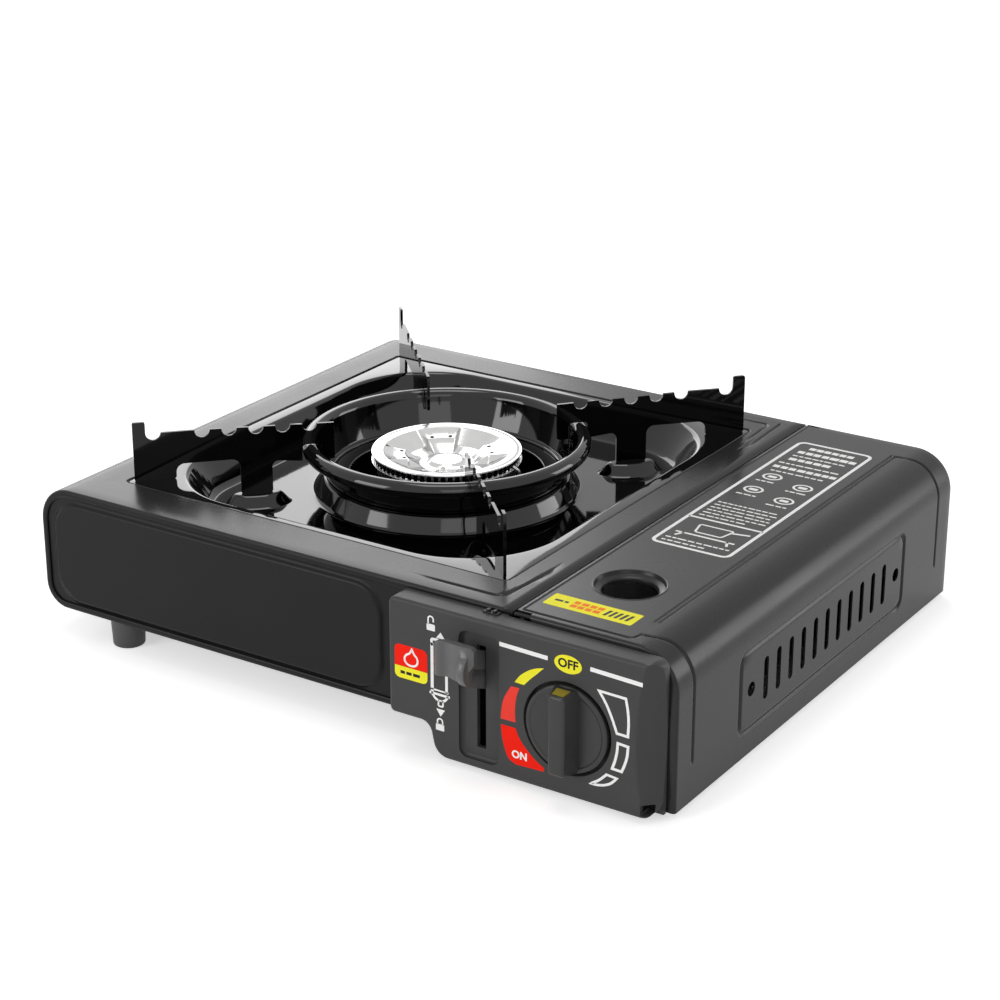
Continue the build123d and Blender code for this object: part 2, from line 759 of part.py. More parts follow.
def valve_bulkhead():
    """Wall behind the controls that carries the valve and the lever's bracket."""
    face = outline([
        (lever_x - 14, floor_left, 0),
        (partition_left, floor_left, 0),
        (partition_left, floor_left + 1, 0),
        (partition_right, floor_left + 1, 0),
        (partition_right, floor_right, 0),
        (right - 14, floor_right, 0),
        (right - 8, floor_right + 10, 0),
        (right - 8, 50.0, 0),
        (right - 20, bulkhead_top, 0),
        (lever_x - 14, bulkhead_top, 0),
    ])
    wall = front_prism(face, bulkhead_y, bulkhead_rear)
    wall -= rod_y(cartridge_x, cartridge_z, port_boss_radius + 0.3, bulkhead_y - 1, bulkhead_rear + 1)
    wall -= block(partition_right, partition_right + slide_thickness + 2 * seat_gap + 0.4, bulkhead_y - 1,
                  bulkhead_rear + 1, slide_bottom - seat_gap, slide_top + seat_gap)
    wall -= rod_y(gas_pipe_turn_x, injector_z, gas_pipe_radius + seat_gap, bulkhead_y - 1, bulkhead_rear + 1)
    for x, z in valve_screw_places():
        wall -= rod_y(x, z, panel_screw_radius + 0.1, bulkhead_y - 1, bulkhead_rear + 1)
    return wall


def gas_pipe():
    """Pipe from the valve through the bulkhead to the injector."""
    pipe_y = (valve_front + bulkhead_y) / 2
    end_x = partition_right + injector_flange_length
    points = [
        (valve_left, pipe_y, injector_z),
        (gas_pipe_turn_x, pipe_y, injector_z),
        (gas_pipe_turn_x, injector_y, injector_z),
        (end_x, injector_y, injector_z),
    ]
    return tube_along(points, 4.0, gas_pipe_radius)


def injector():
    """Brass injector seated on the partition, its nose inside the mixing tube's mouth."""
    nozzle = rod_x(injector_y, injector_z, injector_radius, partition_right + injector_flange_length
                   - injector_length, partition_right + 1)
    nozzle += rod_x(injector_y, injector_z, injector_flange_radius, partition_right,
                    partition_right + injector_flange_length)
    return nozzle - rod_x(injector_y, injector_z, 0.6, partition_left - 20, partition_right - 2)


# ---- burner -----------------------------------------------------------------------------------
def mixing_tube():
    """Tube that carries gas and air from the injector to the burner, with air windows at its mouth."""
    points = [
        (partition_left, injector_y, injector_z),
        (burner_x, injector_y, injector_z),
        (burner_x, burner_y, injector_z),
        (burner_x, burner_y, bracket_top),
    ]
    tube = tube_along(points, mixing_bend, mixing_radius)
    tube -= tube_along(points, mixing_bend, mixing_radius - mixing_wall)
    flange = rod_x(injector_y, injector_z, mixing_radius + 2.4, partition_left - 1.2, partition_left)
    tube += flange - rod_x(injector_y, injector_z, mixing_radius - mixing_wall, partition_left - 2,
                           partition_left + 1)
    tube -= block(partition_left - 18, partition_left - 7, injector_y - 4, injector_y + 4,
                  injector_z - 12, injector_z + 12)
    return tube


def burner_bracket():
    """Bridge that stands on the underside and carries the burner and the electrode."""
    top = bracket_top
    half = bracket_width / 2
    x0 = burner_x - bracket_reach
    x1 = burner_x + bracket_reach
    y0 = burner_y - half
    y1 = burner_y + half
    bridge = block(x0, x1, y0, y1, top - bracket_sheet, top)
    bridge += block(x0, x0 + bracket_sheet, y0, y1, floor_left, top)
    bridge += block(x1 - bracket_sheet, x1, y0, y1, floor_left, top)
    bridge += block(x0 - 10, x0 + bracket_sheet, y0, y1, floor_left, floor_left + bracket_sheet)
    bridge += block(x1 - bracket_sheet, x1 + 10, y0, y1, floor_left, floor_left + bracket_sheet)
    bridge -= rod_z(burner_x, burner_y, mixing_radius + pin_clearance, top - 5, top + 5)
    bridge -= rod_z(burner_x + electrode_offset, burner_y, electrode_radius + pin_clearance, top - 5, top + 5)
    for x, y in burner_screw_places():
        bridge -= rod_z(x, y, panel_screw_radius + 0.1, top - 5, top + 5)
    return bridge


def burner_screw_places():
    """Two burner screws, either side of the mixing tube."""
    return [(burner_x + side * 20, burner_y) for side in (-1, 1)]


cap_bottom = burner_cap_top - burner_skirt


def burner_base():
    """Cast bowl under the burner cap."""
    bowl_top = cap_bottom
    wall = burner_base_wall
    bowl = turned([
        (mixing_radius - mixing_wall, bracket_top),
        (26, bracket_top),
        (burner_base_radius, bowl_top - 6),
        (burner_base_radius, bowl_top),
        (burner_base_radius - wall, bowl_top),
        (burner_base_radius - wall, bowl_top - 5),
        (25, bracket_top + 3),
        (mixing_radius - mixing_wall, bracket_top + 3),
    ])
    for x, y in burner_screw_places():
        bowl -= rod_z(x, y, panel_screw_radius + pin_clearance, bracket_top - 1, bracket_top + 2.5)
    return bowl


def burner_cap():
    """Dished steel cap with a slotted skirt; the flame comes out of the slots."""
    top = burner_cap_top
    cap = turned([
        (0, top - 3.4),
        (8, top - 3.4),
        (11, top - 4.6),
        (burner_cap_radius - 14.1, top - 4.6),
        (burner_cap_radius - 5.1, top - 0.4),
        (burner_cap_radius - 1.0, top),
        (burner_cap_radius, top - 1.0),
        (burner_cap_radius, cap_bottom),
        (burner_base_radius - burner_base_wall, cap_bottom),
        (burner_base_radius - burner_base_wall, top - 2.4),
        (burner_cap_radius - 15.1, top - 6.2),
        (0, top - 6.2),
    ])
    for i in range(burner_slot_count):
        slot = Pos(burner_cap_radius, 0, cap_bottom + 2.3) * Box(3.0, burner_slot_width, 2.8)
        cap -= Pos(burner_x, burner_y, 0) * Rot(0, 0, 360 / burner_slot_count * i) * slot
    return cap


def burner_screws():
    """Two screws that hold the burner bowl on its bracket."""
    screws = []
    for x, y in burner_screw_places():
        screw = rod_z(x, y, panel_screw_radius, bracket_top - bracket_sheet, bracket_top + 2.2)
        screw += rod_z(x, y, panel_screw_head, bracket_top - bracket_sheet - 1.6, bracket_top - bracket_sheet)
        screws.append(screw)
    return screws


def electrode_ceramic():
    """Ceramic sleeve of the spark electrode, with a collar that sits on the bracket."""
    x = burner_x + electrode_offset
    sleeve = rod_z(x, burner_y, electrode_radius, electrode_bottom, electrode_top)
    sleeve += rod_z(x, burner_y, electrode_radius + 1.0, bracket_top, bracket_top + 3)
    return sleeve - rod_z(x, burner_y, 0.8, electrode_bottom + 4, electrode_top + 1)


def electrode_pin():
    """Bent steel pin that reaches towards the burner's edge."""
    x = burner_x + electrode_offset
    points = [
        (x, burner_y, electrode_bottom + 6),
        (x, burner_y, burner_cap_top - 3),
        (x - 3.4, burner_y, burner_cap_top - 1.5),
    ]
    return tube_along(points, 1.5, 0.7)


# ---- ignition lead ----------------------------------------------------------------------------
lead_exit_x = igniter_left + igniter_length - 5
lead_low_z = 10.0
lead_floor_z = floor_left + 4.0
lead_run_x = seam_x - 26.0
lead_turn_y = injector_y + 40.0
lead_points = [
    (lead_exit_x, plunger_y, knob_z - igniter_height / 2),
    (lead_exit_x, plunger_y, lead_low_z),
    (seam_x + 12.0, plunger_y, lead_low_z),
    (seam_x + 2.0, bulkhead_y - 4, lead_floor_z),
    (lead_run_x, bulkhead_y - 4, lead_floor_z),
    (lead_run_x, lead_turn_y, lead_floor_z),
    (lead_run_x - 42.0, lead_turn_y + 6, lead_floor_z + 1),
    (burner_x + electrode_offset, lead_turn_y + 26, lead_floor_z + 3),
    (burner_x + electrode_offset, burner_y, lead_floor_z + 5),
    (burner_x + electrode_offset, burner_y, electrode_bottom),
]


def ignition_lead():
    """Insulated lead from the igniter to the electrode, held by clips."""
    return tube_along(lead_points, lead_bend, lead_radius)


def lead_clips():
    """Clips that hold the lead: one on the front plate, one on the underside."""
    hole = lead_radius + pin_clearance
    clip_x = lead_exit_x - 35.0
    clip_y = lead_turn_y - 21.0
    front_clip = block(clip_x, clip_x + clip_length, inside_front, plunger_y + 3, lead_low_z - 3,
                       lead_low_z + 3)
    front_clip -= rod_x(plunger_y, lead_low_z, hole, clip_x - 1, clip_x + clip_length + 1)
    floor_clip = block(lead_run_x - 4, lead_run_x + 4, clip_y, clip_y + clip_length, floor_left,
                       lead_floor_z + 3)
    floor_clip -= rod_y(lead_run_x, lead_floor_z, hole, clip_y - 1, clip_y + clip_length + 1)
    return [front_clip, floor_clip]


# ---- drip tray, ring and blades ---------------------------------------------------------------
def dish(inset, top, floor):
    """Rounded-square dish of the tray, tapering down to its floor."""
    half_x = dish_half_width - inset
    half_y = dish_half_depth - inset
    face = Pos(burner_x, burner_y) * box_outline(-half_x, -half_y, half_x, half_y, dish_radius - inset)
    return extrude(Plane.XY.offset(top) * face, amount=-(top - floor), taper=dish_taper)


def diagonals():
    """The four directions from the burner to the tray's corners, with each blade's name."""
    angle = degrees(atan2(blade_tip_y, blade_tip_x))
    return [
        ("front_left", 180 + angle),
        ("front_right", -angle),
        ("rear_right", angle),
        ("rear_left", 180 - angle),
    ]


def blade_boss(angle, shrink):
    """Oval boss of the tray under a blade's leg."""
    face = SlotOverall(boss_length - 2 * shrink, boss_width - 2 * shrink)
    height = boss_top - dish_floor + 0.5
    pad = extrude(Plane.XY.offset(dish_floor - 0.5 - shrink) * face, amount=height, taper=18)
    return Pos(burner_x, burner_y, 0) * Rot(0, 0, angle) * Pos(boss_distance, 0, 0) * pad


def drip_tray():
    """Enamelled tray: a flat rim in the recess, a dish, a raised collar and a boss under each blade."""
    half_x = recess_width / 2 - tray_gap
    half_y = recess_depth / 2 - tray_gap
    rim = Pos(burner_x, burner_y) * box_outline(-half_x, -half_y, half_x, half_y, recess_radius - tray_gap)
    tray = top_prism(rim, tray_top - sheet, tray_top)
    tray += dish(-sheet, tray_top, dish_floor - sheet)
    tray -= dish(0, tray_top + 0.001, dish_floor)
    collar = turned([
        (0, dish_floor - sheet - 1),
        (collar_radius + 5, dish_floor - sheet - 1),
        (collar_radius + 5, dish_floor),
        (collar_radius + 2, dish_floor + 4),
        (collar_radius, collar_top),
        (0, collar_top),
    ])
    under = turned([
        (0, dish_floor - sheet - 2),
        (collar_radius + 4, dish_floor - sheet - 2),
        (collar_radius + 4, dish_floor - sheet),
        (collar_radius + 1, dish_floor + 4 - sheet),
        (collar_radius - sheet, collar_top - sheet),
        (0, collar_top - sheet),
    ])
    tray += collar
    tray -= under
    for _, angle in diagonals():
        tray += blade_boss(angle, 0)
        tray -= blade_boss(angle, sheet)
    return tray - rod_z(burner_x, burner_y, tray_hole_radius, 0, 100)


def windshield_ring():
    """Conical ring with a rolled rim and a small foot that sits on the tray's collar."""
    low = collar_top + ring_wall
    wall_top_radius = ring_rim_radius - ring_tube_radius + 0.4
    wall = outline([
        (ring_foot_radius - ring_foot_width, collar_top, 0),
        (ring_foot_radius + ring_wall, collar_top, 0),
        (wall_top_radius + ring_wall, ring_rim_z, 0),
        (wall_top_radius, ring_rim_z, 0),
        (ring_foot_radius - 0.2, low, 0),
        (ring_foot_radius - ring_foot_width, low, 0),
    ])
    bead = Circle(ring_tube_radius) - Circle(ring_tube_radius - ring_wall)
    bead -= Pos(-1.2, -ring_tube_radius) * Rectangle(1.6, 3.0)
    profile = wall + Pos(ring_rim_radius, ring_rim_z) * bead
    ring = revolve(Plane.XZ * profile, Axis.Z)
    return Pos(burner_x, burner_y, 0) * ring


def blade_profile():
    """Side view of one blade: distance from the burner's axis against height."""
    rim_clear = ring_tube_radius + seat_gap
    slot_top = ring_rim_z + rim_clear
    slot_inner = ring_rim_radius - rim_clear - 1.3
    inner_top = blade_top - 3.0
    slope = [(tooth_first + tooth_pitch / 2, blade_top, 0)]
    slope.append((tooth_first - tooth_pitch * tooth_count + 1, inner_top + 1.4, 0))
    face = outline([
        (blade_base_inner, tray_top, 1.5),
        (blade_outer, tray_top, 1.0),
        (blade_outer, hook_top, 1.0),
        (blade_outer - hook_width, hook_top, 1.0),
        (blade_outer - hook_width, blade_top, 0),
        *slope,
        (blade_inner, inner_top, 1.0),
        (blade_inner, ring_rim_z - ring_tube_radius, 1.0),
        (slot_inner, ring_rim_z - ring_tube_radius, 0),
        (slot_inner, slot_top, 2.0),
        (ring_rim_radius + rim_clear, slot_top, 2.0),
        (ring_rim_radius + rim_clear, ring_rim_z - ring_tube_radius, 0),
        (blade_leg_inner, blade_window_top - 2, 3.0),
        (blade_leg_inner, boss_top, 1.0),
        (blade_leg_outer, boss_top, 1.0),
        (blade_leg_outer, blade_window_top, 4.0),
        (blade_base_inner, blade_window_top, 4.0),
    ])
    face -= Pos(notch_centre, blade_top) * Circle(notch_radius)
    for i in range(tooth_count):
        height = blade_top - 0.4 - 1.0 * i / (tooth_count - 1)
        face -= Pos(tooth_first - tooth_pitch * i, height) * Circle(notch_radius)
    return face


def pan_blade(angle):
    """One upright blade that carries the pan, notched along its top and cut out over the tray."""
    blade = front_prism(blade_profile(), -blade_thickness / 2, blade_thickness / 2)
    return Pos(burner_x, burner_y, 0) * Rot(0, 0, angle) * blade


# ---- lock lever and cartridge slide -----------------------------------------------------------
drive_per_radian = drive_linear * drive_radius
slide_travel = drive_per_radian * radians(lever_swing)
drive_rest_y = lever_y + slide_travel / 2
drive_z = lever_z + drive_radius
slide_left = partition_right + seat_gap
slide_right = slide_left + slide_thickness
slide_front = drive_rest_y - 7.0
hook_front = cartridge_front + cartridge_length + slide_travel


def lever_side():
    """Side view of the lever (y, z) about its pivot, at the middle of its swing."""
    arm = box_outline(-lever_reach, -lever_arm_width / 2, 0, lever_arm_width / 2)
    nose = Pos(-lever_reach, 0) * Circle(lever_arm_width / 2)
    hub = Circle(lever_hub_radius)
    half = drive_pin_radius + drive_clearance
    far = drive_radius / cos(radians(mid_swing))
    tail = box_outline(-half - 2.2, 0, half + 2.2, far) + Pos(0, far) * Circle(half + 2.2)
    slot = Pos(0, (drive_radius + far) / 2) * box_outline(-half, -(far - drive_radius) / 2 - half, half,
                                                          (far - drive_radius) / 2 + half, half - 0.01)
    blank = arm + nose + hub + tail
    return blank - slot - Circle(lever_pin_radius + pin_clearance)


def paddle():
    """Thumb paddle of the lever: bulging at its right, hollow towards its raised left edge."""
    left_edge = -paddle_reach_left
    right_edge = paddle_reach_right
    tip = -lever_reach - lever_arm_width / 2
    face_line = Spline((right_edge, tip + 1.6), (right_edge - 2.6, tip - 0.2), (right_edge - 7.0, tip - 0.5),
                       (right_edge - 11.6, tip + 0.6), (left_edge + 3.6, tip + 2.4), (left_edge, tip + 0.8))
    back_line = Spline((left_edge + 0.6, tip + 2.4), (left_edge + 4.0, tip + 4.6), (left_edge + 9.0, tip + 4.5),
                       (right_edge, tip + 4.8))
    ends = [Line(face_line @ 1, back_line @ 0), Line(back_line @ 1, face_line @ 0)]
    plan = make_face([face_line, ends[0], back_line, ends[1]])
    half = paddle_height / 2
    front_view = outline([
        (left_edge - 0.5, -half + 0.6, 2.0),
        (right_edge - 1.2, -half, 5.5),
        (right_edge + 0.3, half, 3.5),
        (left_edge - 0.5, half, 2.0),
    ])
    return top_prism(plan, -half - 1, half + 1) & front_prism(front_view, tip - 5, tip + 9)


def lock_lever():
    """Lever plate through the panel's slot, with a thumb paddle in front."""
    plate = side_prism(lever_side(), -lever_thickness / 2, lever_thickness / 2)
    return Pos(lever_x, lever_y, lever_z) * Rot(-mid_swing, 0, 0) * (plate + paddle())


def lever_pin():
    """Pivot pin of the lever."""
    half = lever_bracket_width / 2
    return rod_x(lever_y, lever_z, lever_pin_radius, lever_x - half - 1.5, lever_x + half + 1.5)


def lever_bracket():
    """Folded bracket on the bulkhead whose two cheeks hold the lever's pin."""
    half = lever_bracket_width / 2
    low = lever_z - 5.0
    high = drive_z - drive_pin_radius - 0.6
    bracket = block(lever_x - half - 1, lever_x + half + 1, bulkhead_y - 1.2, bulkhead_y, low - 5, high)
    for side in (-1, 1):
        x = lever_x + side * (half - 0.5)
        cheek = block(x - 0.5, x + 0.5, lever_y - 4.5, bulkhead_y, low, high)
        bracket += cheek
    return bracket - rod_x(lever_y, lever_z, lever_pin_radius + pin_clearance, lever_x - 20, lever_x + 20)


def cartridge_slide():
    """Plate beside the partition: the lever pulls it forward and its hook takes the cartridge along."""
    face = box_outline(slide_front, slide_bottom, hook_front + slide_thickness, slide_top)
    plate = side_prism(face, slide_left, slide_right)
    plate += block(slide_left, slide_left + slide_hook_reach, hook_front, hook_front + slide_thickness,
                   slide_bottom, slide_top)
    plate += rod_x(drive_rest_y, drive_z, drive_pin_radius, lever_x - lever_thickness / 2 - 1, slide_left + 0.5)
    return plate


def slide_guides():
    """Two clips on the partition that keep the slide upright."""
    guides = []
    for y in (cartridge_front + 28.0, cartridge_front + 143.0):
        outer = block(partition_right, slide_right + seat_gap + guide_wall, y - guide_length / 2,
                      y + guide_length / 2, slide_bottom - seat_gap - 3, slide_top + seat_gap + 3)
        inner = block(partition_right - 1, slide_right + seat_gap, y - guide_length, y + guide_length,
                      slide_bottom - seat_gap, slide_top + seat_gap)
        guides.append(outer - inner)
    return guides


# ---- feet -------------------------------------------------------------------------------------
def tall_foot(side):
    """Tapered plastic foot under the cooking side."""
    foot = Cone(foot_radius - 0.7, foot_radius, left_foot_height)
    return Pos(foot_x, side * (rear - foot_inset), left_foot_height / 2) * foot


def short_foot(side):
    """Rubber pad under the cartridge side."""
    return rod_z(pad_x, side * (rear - pad_inset), pad_radius, 0, right_foot_height)


# ---- writing ----------------------------------------------------------------------------------
def write(name, shapes):
    """Write one node; several shapes become a group of separate solids."""
    shape = Compound(children=list(shapes)) if isinstance(shapes, list) else shapes
    export_step(shape, f"parts/{name}.step")


def main():
    """Build every node and write it to the parts folder."""
    os.makedirs("parts", exist_ok=True)
    nodes = {
        "body_shell": body_shell,
        "front_plate": front_plate,
        "rear_plate": rear_plate,
        "lid": lid,
        "cartridge_tub": cartridge_tub,
        "partition": partition,
        "cradle_rails": cradle_rails,
        "control_panel": control_panel,
        "panel_screws": panel_screws,
        "gas_knob": gas_knob,
        "valve_spindle": valve_spindle,
        "igniter_cam": igniter_cam,
        "igniter_plunger": igniter_plunger,
        "igniter_body": igniter_body,
        "valve_body": valve_body,
        "regulator_cover": regulator_cover,
        "valve_screws": valve_screws,
        "valve_bulkhead": valve_bulkhead,
        "gas_pipe": gas_pipe,
        "injector": injector,
        "mixing_tube": mixing_tube,
        "burner_bracket": burner_bracket,
        "burner_base": burner_base,
        "burner_cap": burner_cap,
        "burner_screws": burner_screws,
        "electrode_ceramic": electrode_ceramic,
        "electrode_pin": electrode_pin,
        "ignition_lead": ignition_lead,
        "lead_clips": lead_clips,
        "drip_tray": drip_tray,
        "windshield_ring": windshield_ring,
        "lock_lever": lock_lever,
        "lever_pin": lever_pin,
        "lever_bracket": lever_bracket,
        "cartridge_slide": cartridge_slide,
        "slide_guides": slide_guides,
    }
    for name, make in nodes.items():
        write(name, make())
    for end, side in (("front", -1), ("rear", 1)):
        write(f"hinge_pin_{end}", hinge_pin(side))
        write(f"tall_foot_{end}", tall_foot(side))
        write(f"short_foot_{end}", short_foot(side))
    for name, angle in diagonals():
        write(f"pan_blade_{name}", pan_blade(angle))


main()
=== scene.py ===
"""Dresses the butane cassette stove.

It has painted pressings, an enamelled tray, a plated burner and moulded controls.  Everything
is built in metres, in the frame of the CAD parts; sizes written in the classes are millimetres.
"""
import logging
import math
import random
from dataclasses import dataclass, field, replace
from enum import Enum
from typing import Callable, Iterable, Sequence

import bmesh
import bpy
from mathutils import Matrix, Vector


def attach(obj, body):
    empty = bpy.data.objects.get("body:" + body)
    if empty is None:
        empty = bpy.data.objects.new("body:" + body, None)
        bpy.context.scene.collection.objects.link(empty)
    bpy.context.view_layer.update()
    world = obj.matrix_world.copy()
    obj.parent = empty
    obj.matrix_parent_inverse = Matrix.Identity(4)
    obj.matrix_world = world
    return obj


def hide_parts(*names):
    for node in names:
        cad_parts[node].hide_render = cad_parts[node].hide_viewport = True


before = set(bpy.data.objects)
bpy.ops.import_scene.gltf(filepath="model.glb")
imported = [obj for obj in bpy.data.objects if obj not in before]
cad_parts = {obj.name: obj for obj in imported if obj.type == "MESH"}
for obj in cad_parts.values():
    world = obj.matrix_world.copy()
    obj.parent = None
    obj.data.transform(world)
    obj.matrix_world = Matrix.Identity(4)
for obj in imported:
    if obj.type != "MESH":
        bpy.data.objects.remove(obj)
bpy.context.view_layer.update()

log = logging.getLogger("stove")
MM = 0.001
Point = tuple[float, float]
Corner = tuple[float, float, float]

# Places shared with the CAD parts, in millimetres.
BODY_TOP = 73.7
BURNER = Vector((-32.9, 0.9, 0.0))
PANEL_FACE = -145.0
PLATE_FRONT = -133.2
PLATE_REAR = 133.2
SHEET = 0.8
KNOB = Vector((125.0, -146.2, 33.6))
LEVER_PIVOT = Vector((81.5, -114.0, 35.5))
MERGE = 1e-6  # metres

X_AXIS = Vector((1, 0, 0))
Y_AXIS = Vector((0, 1, 0))
Z_AXIS = Vector((0, 0, 1))


# ---- finishes ---------------------------------------------------------------------------------
class Texture(Enum):
    """How a surface was made, which sets the pattern of its fine relief."""

    ORANGE_PEEL = "sprayed or fired coat"
    SPARK = "spark-eroded mould"
    BRUSHED = "rolled or brushed sheet"
    CAST = "die cast"
    TURNED = "turned round the burner's axis"
    SMOOTH = "smooth"


class Joining(Enum):
    """What a closed tool does to the piece that it is used on."""

    TAKE_AWAY = "DIFFERENCE"
    KEEP_INSIDE = "INTERSECT"
    ADD = "UNION"


def linear(hex_colour: str) -> tuple[float, float, float, float]:
    """Turn an sRGB hex colour into linear light.

    Args:
        hex_colour: Six hexadecimal digits, such as "2a2a2a".

    Returns:
        Red, green, blue and an alpha of 1.
    """
    values = [int(hex_colour[i:i + 2], 16) / 255 for i in (0, 2, 4)]
    red, green, blue = (v / 12.92 if v <= 0.04045 else ((v + 0.055) / 1.055) ** 2.4
                        for v in values)
    return red, green, blue, 1.0


def add_node(tree: bpy.types.NodeTree, kind: str, settings: dict | None = None,
             values: dict | None = None, links: dict | None = None) -> bpy.types.Node:
    """Add a shader node with its settings and links.

    Args:
        tree: Node tree that takes the node.
        kind: Blender's name for the kind of node.
        settings: Properties of the node itself.
        values: Values of its input sockets.
        links: Output sockets that feed its input sockets.

    Returns:
        The new node.
    """
    node = tree.nodes.new(kind)
    for key, value in (settings or {}).items():
        setattr(node, key, value)
    for key, value in (values or {}).items():
        node.inputs[key].default_value = value
    for key, source in (links or {}).items():
        tree.links.new(source, node.inputs[key])
    return node


@dataclass(frozen=True)
class Finish:
    """Surface of one real material; grain and mottle sizes and the relief are millimetres."""

    name: str
    colour: str
    mottle: str
    roughness: float
    metallic: float = 0.0
    ior: float = 1.5
    spread: float = 0.05
    texture: Texture = Texture.SMOOTH
    grain: float = 1.0
    relief: float = 0.004
    mottle_size: float = 30.0
    specular: float = 0.5

    def grain_height(self, tree: bpy.types.NodeTree,
                     place: bpy.types.NodeSocket) -> bpy.types.NodeSocket:
        """Add the pattern of the fine relief.

        Args:
            tree: Node tree of the material.
            place: Socket that gives object coordinates.

        Returns:
            Socket with the relief's height from 0 to 1.
        """
        scale = 1.0 / (self.grain * MM)
        if self.texture is Texture.TURNED:
            centred = add_node(tree, "ShaderNodeMapping", values={"Location": -BURNER * MM},
                               links={"Vector": place})
            rings_per_unit = 6.3  # at a scale of 1
            rings = add_node(tree, "ShaderNodeTexWave",
                             {"wave_type": "RINGS", "rings_direction": "Z", "wave_profile": "SIN"},
                             {"Scale": scale / rings_per_unit, "Distortion": 0.6, "Detail": 2.0},
                             {"Vector": centred.outputs["Vector"]})
            return rings.outputs["Fac"]
        if self.texture is Texture.BRUSHED:
            drawn = add_node(tree, "ShaderNodeMapping", values={"Scale": (0.03, 1.0, 1.0)},
                             links={"Vector": place})
            lines = add_node(tree, "ShaderNodeTexNoise", values={"Scale": scale, "Detail": 3.0},
                             links={"Vector": drawn.outputs["Vector"]})
            return lines.outputs["Fac"]
        detail = {Texture.SPARK: 4.0, Texture.CAST: 3.0}.get(self.texture, 1.0)
        noise = add_node(tree, "ShaderNodeTexNoise", values={"Scale": scale, "Detail": detail},
                         links={"Vector": place})
        return noise.outputs["Fac"]

    def material(self) -> bpy.types.Material:
        """Build the material, or find it when it is already built.

        Returns:
            The material, with its mottled colour and gloss and its fine relief.
        """
        known = bpy.data.materials.get(self.name)
        if known is not None:
            return known
        made = bpy.data.materials.new(self.name)
        made.use_nodes = True
        tree = made.node_tree
        shader = tree.nodes["Principled BSDF"]
        for socket, value in (("Metallic", self.metallic), ("IOR", self.ior),
                              ("Specular IOR Level", self.specular)):
            shader.inputs[socket].default_value = value
        place = add_node(tree, "ShaderNodeTexCoord").outputs["Object"]
        cloud = add_node(tree, "ShaderNodeTexNoise",
                         values={"Scale": 1.0 / (self.mottle_size * MM), "Detail": 3.0},
                         links={"Vector": place}).outputs["Fac"]
        noise_range = {"From Min": 0.15, "From Max": 0.85}
        blend = add_node(tree, "ShaderNodeMapRange", values=noise_range,
                         links={"Value": cloud}).outputs["Result"]
        colour = add_node(tree, "ShaderNodeMix", {"data_type": "RGBA"},
                          {"A": linear(self.colour), "B": linear(self.mottle)},
                          {"Factor": blend}).outputs["Result"]
        tree.links.new(colour, shader.inputs["Base Color"])
        gloss = add_node(tree, "ShaderNodeMapRange",
                         values={**noise_range, "To Min": max(self.roughness - self.spread, 0.02),
                                 "To Max": self.roughness + self.spread},
                         links={"Value": cloud}).outputs["Result"]
        tree.links.new(gloss, shader.inputs["Roughness"])
        bump = add_node(tree, "ShaderNodeBump",
                        values={"Strength": 1.0, "Distance": self.relief * MM},
                        links={"Height": self.grain_height(tree, place)})
        tree.links.new(bump.outputs["Normal"], shader.inputs["Normal"])
        return made


def printing_ink(name: str, colour: str, mottle: str, specular: float = 0.1) -> Finish:
    """Screen-printing ink: thin, slightly uneven in gloss.

    Args:
        name: Name of the material.
        colour: Its colour.
        mottle: The colour that it drifts to in patches.
        specular: Strength of its gloss.

    Returns:
        The ink's finish.
    """
    return Finish(name, colour, mottle, 0.5, texture=Texture.CAST, grain=0.4, relief=0.003,
                  mottle_size=4.0, specular=specular)


# Baked semi-gloss paint on steel: dark grey, faint orange peel.
BODY_PAINT = Finish("baked_body_paint", "262626", "2b2b2b", 0.27, texture=Texture.ORANGE_PEEL,
                    grain=1.6, relief=0.006, mottle_size=45.0, specular=0.2)
# The same paint on the end plates, a little flatter, in a darker copy that is painted shade; it
# also goes on the shell's lip faces that look front and rear.
SHADED_FACES_PAINT = Finish("baked_paint_painted_shade", "121212", "161616", 0.34, texture=Texture.ORANGE_PEEL,
                     grain=1.6, relief=0.006, mottle_size=45.0, specular=0.16)
# Gloss black vitreous enamel, fired: mirror-like with a slow ripple.
TRAY_ENAMEL = Finish("gloss_black_enamel", "040404", "060606", 0.055, spread=0.015,
                     texture=Texture.ORANGE_PEEL, grain=9.0, relief=0.010, mottle_size=25.0)
# The same enamel on the blades, whose edges are a little thinner coated.
BLADE_ENAMEL = Finish("blade_black_enamel", "030303", "060606", 0.06, spread=0.02,
                      texture=Texture.ORANGE_PEEL, grain=5.0, relief=0.006, mottle_size=12.0,
                      specular=0.3)
# Nickel-plated pressed steel: bright, faint turning lines.
BURNER_PLATE = Finish("nickel_plated_burner", "d2d2d2", "c4c4c3", 0.14, metallic=1.0,
                      texture=Texture.TURNED, grain=1.2, relief=0.003, mottle_size=9.0)
# Painted shade inside the burner's bores and flame slots: dull black.
SHADE_BLACK = Finish("burner_painted_shade", "050505", "0a0a0a", 0.9, texture=Texture.CAST, grain=0.3,
              relief=0.004, mottle_size=2.0, specular=0.1)
# Die-cast zinc alloy: soft grey, slightly pitted.
CAST_ZINC = Finish("die_cast_zinc", "a3a4a6", "8e8f92", 0.42, metallic=1.0, texture=Texture.CAST,
                   grain=0.9, relief=0.02, mottle_size=8.0)
# Zinc-plated sheet steel, rolled: fine lines along the sheet.
BARE_STEEL = Finish("zinc_plated_steel", "9b9c9c", "87888a", 0.34, metallic=1.0,
                    texture=Texture.BRUSHED, grain=0.5, relief=0.004, mottle_size=14.0)
# Blackened steel fasteners: dull, faintly brown.
BLACK_STEEL = Finish("blackened_steel", "1c1b1a", "262423", 0.38, metallic=0.6,
                     texture=Texture.CAST, grain=0.5, relief=0.004, mottle_size=5.0)
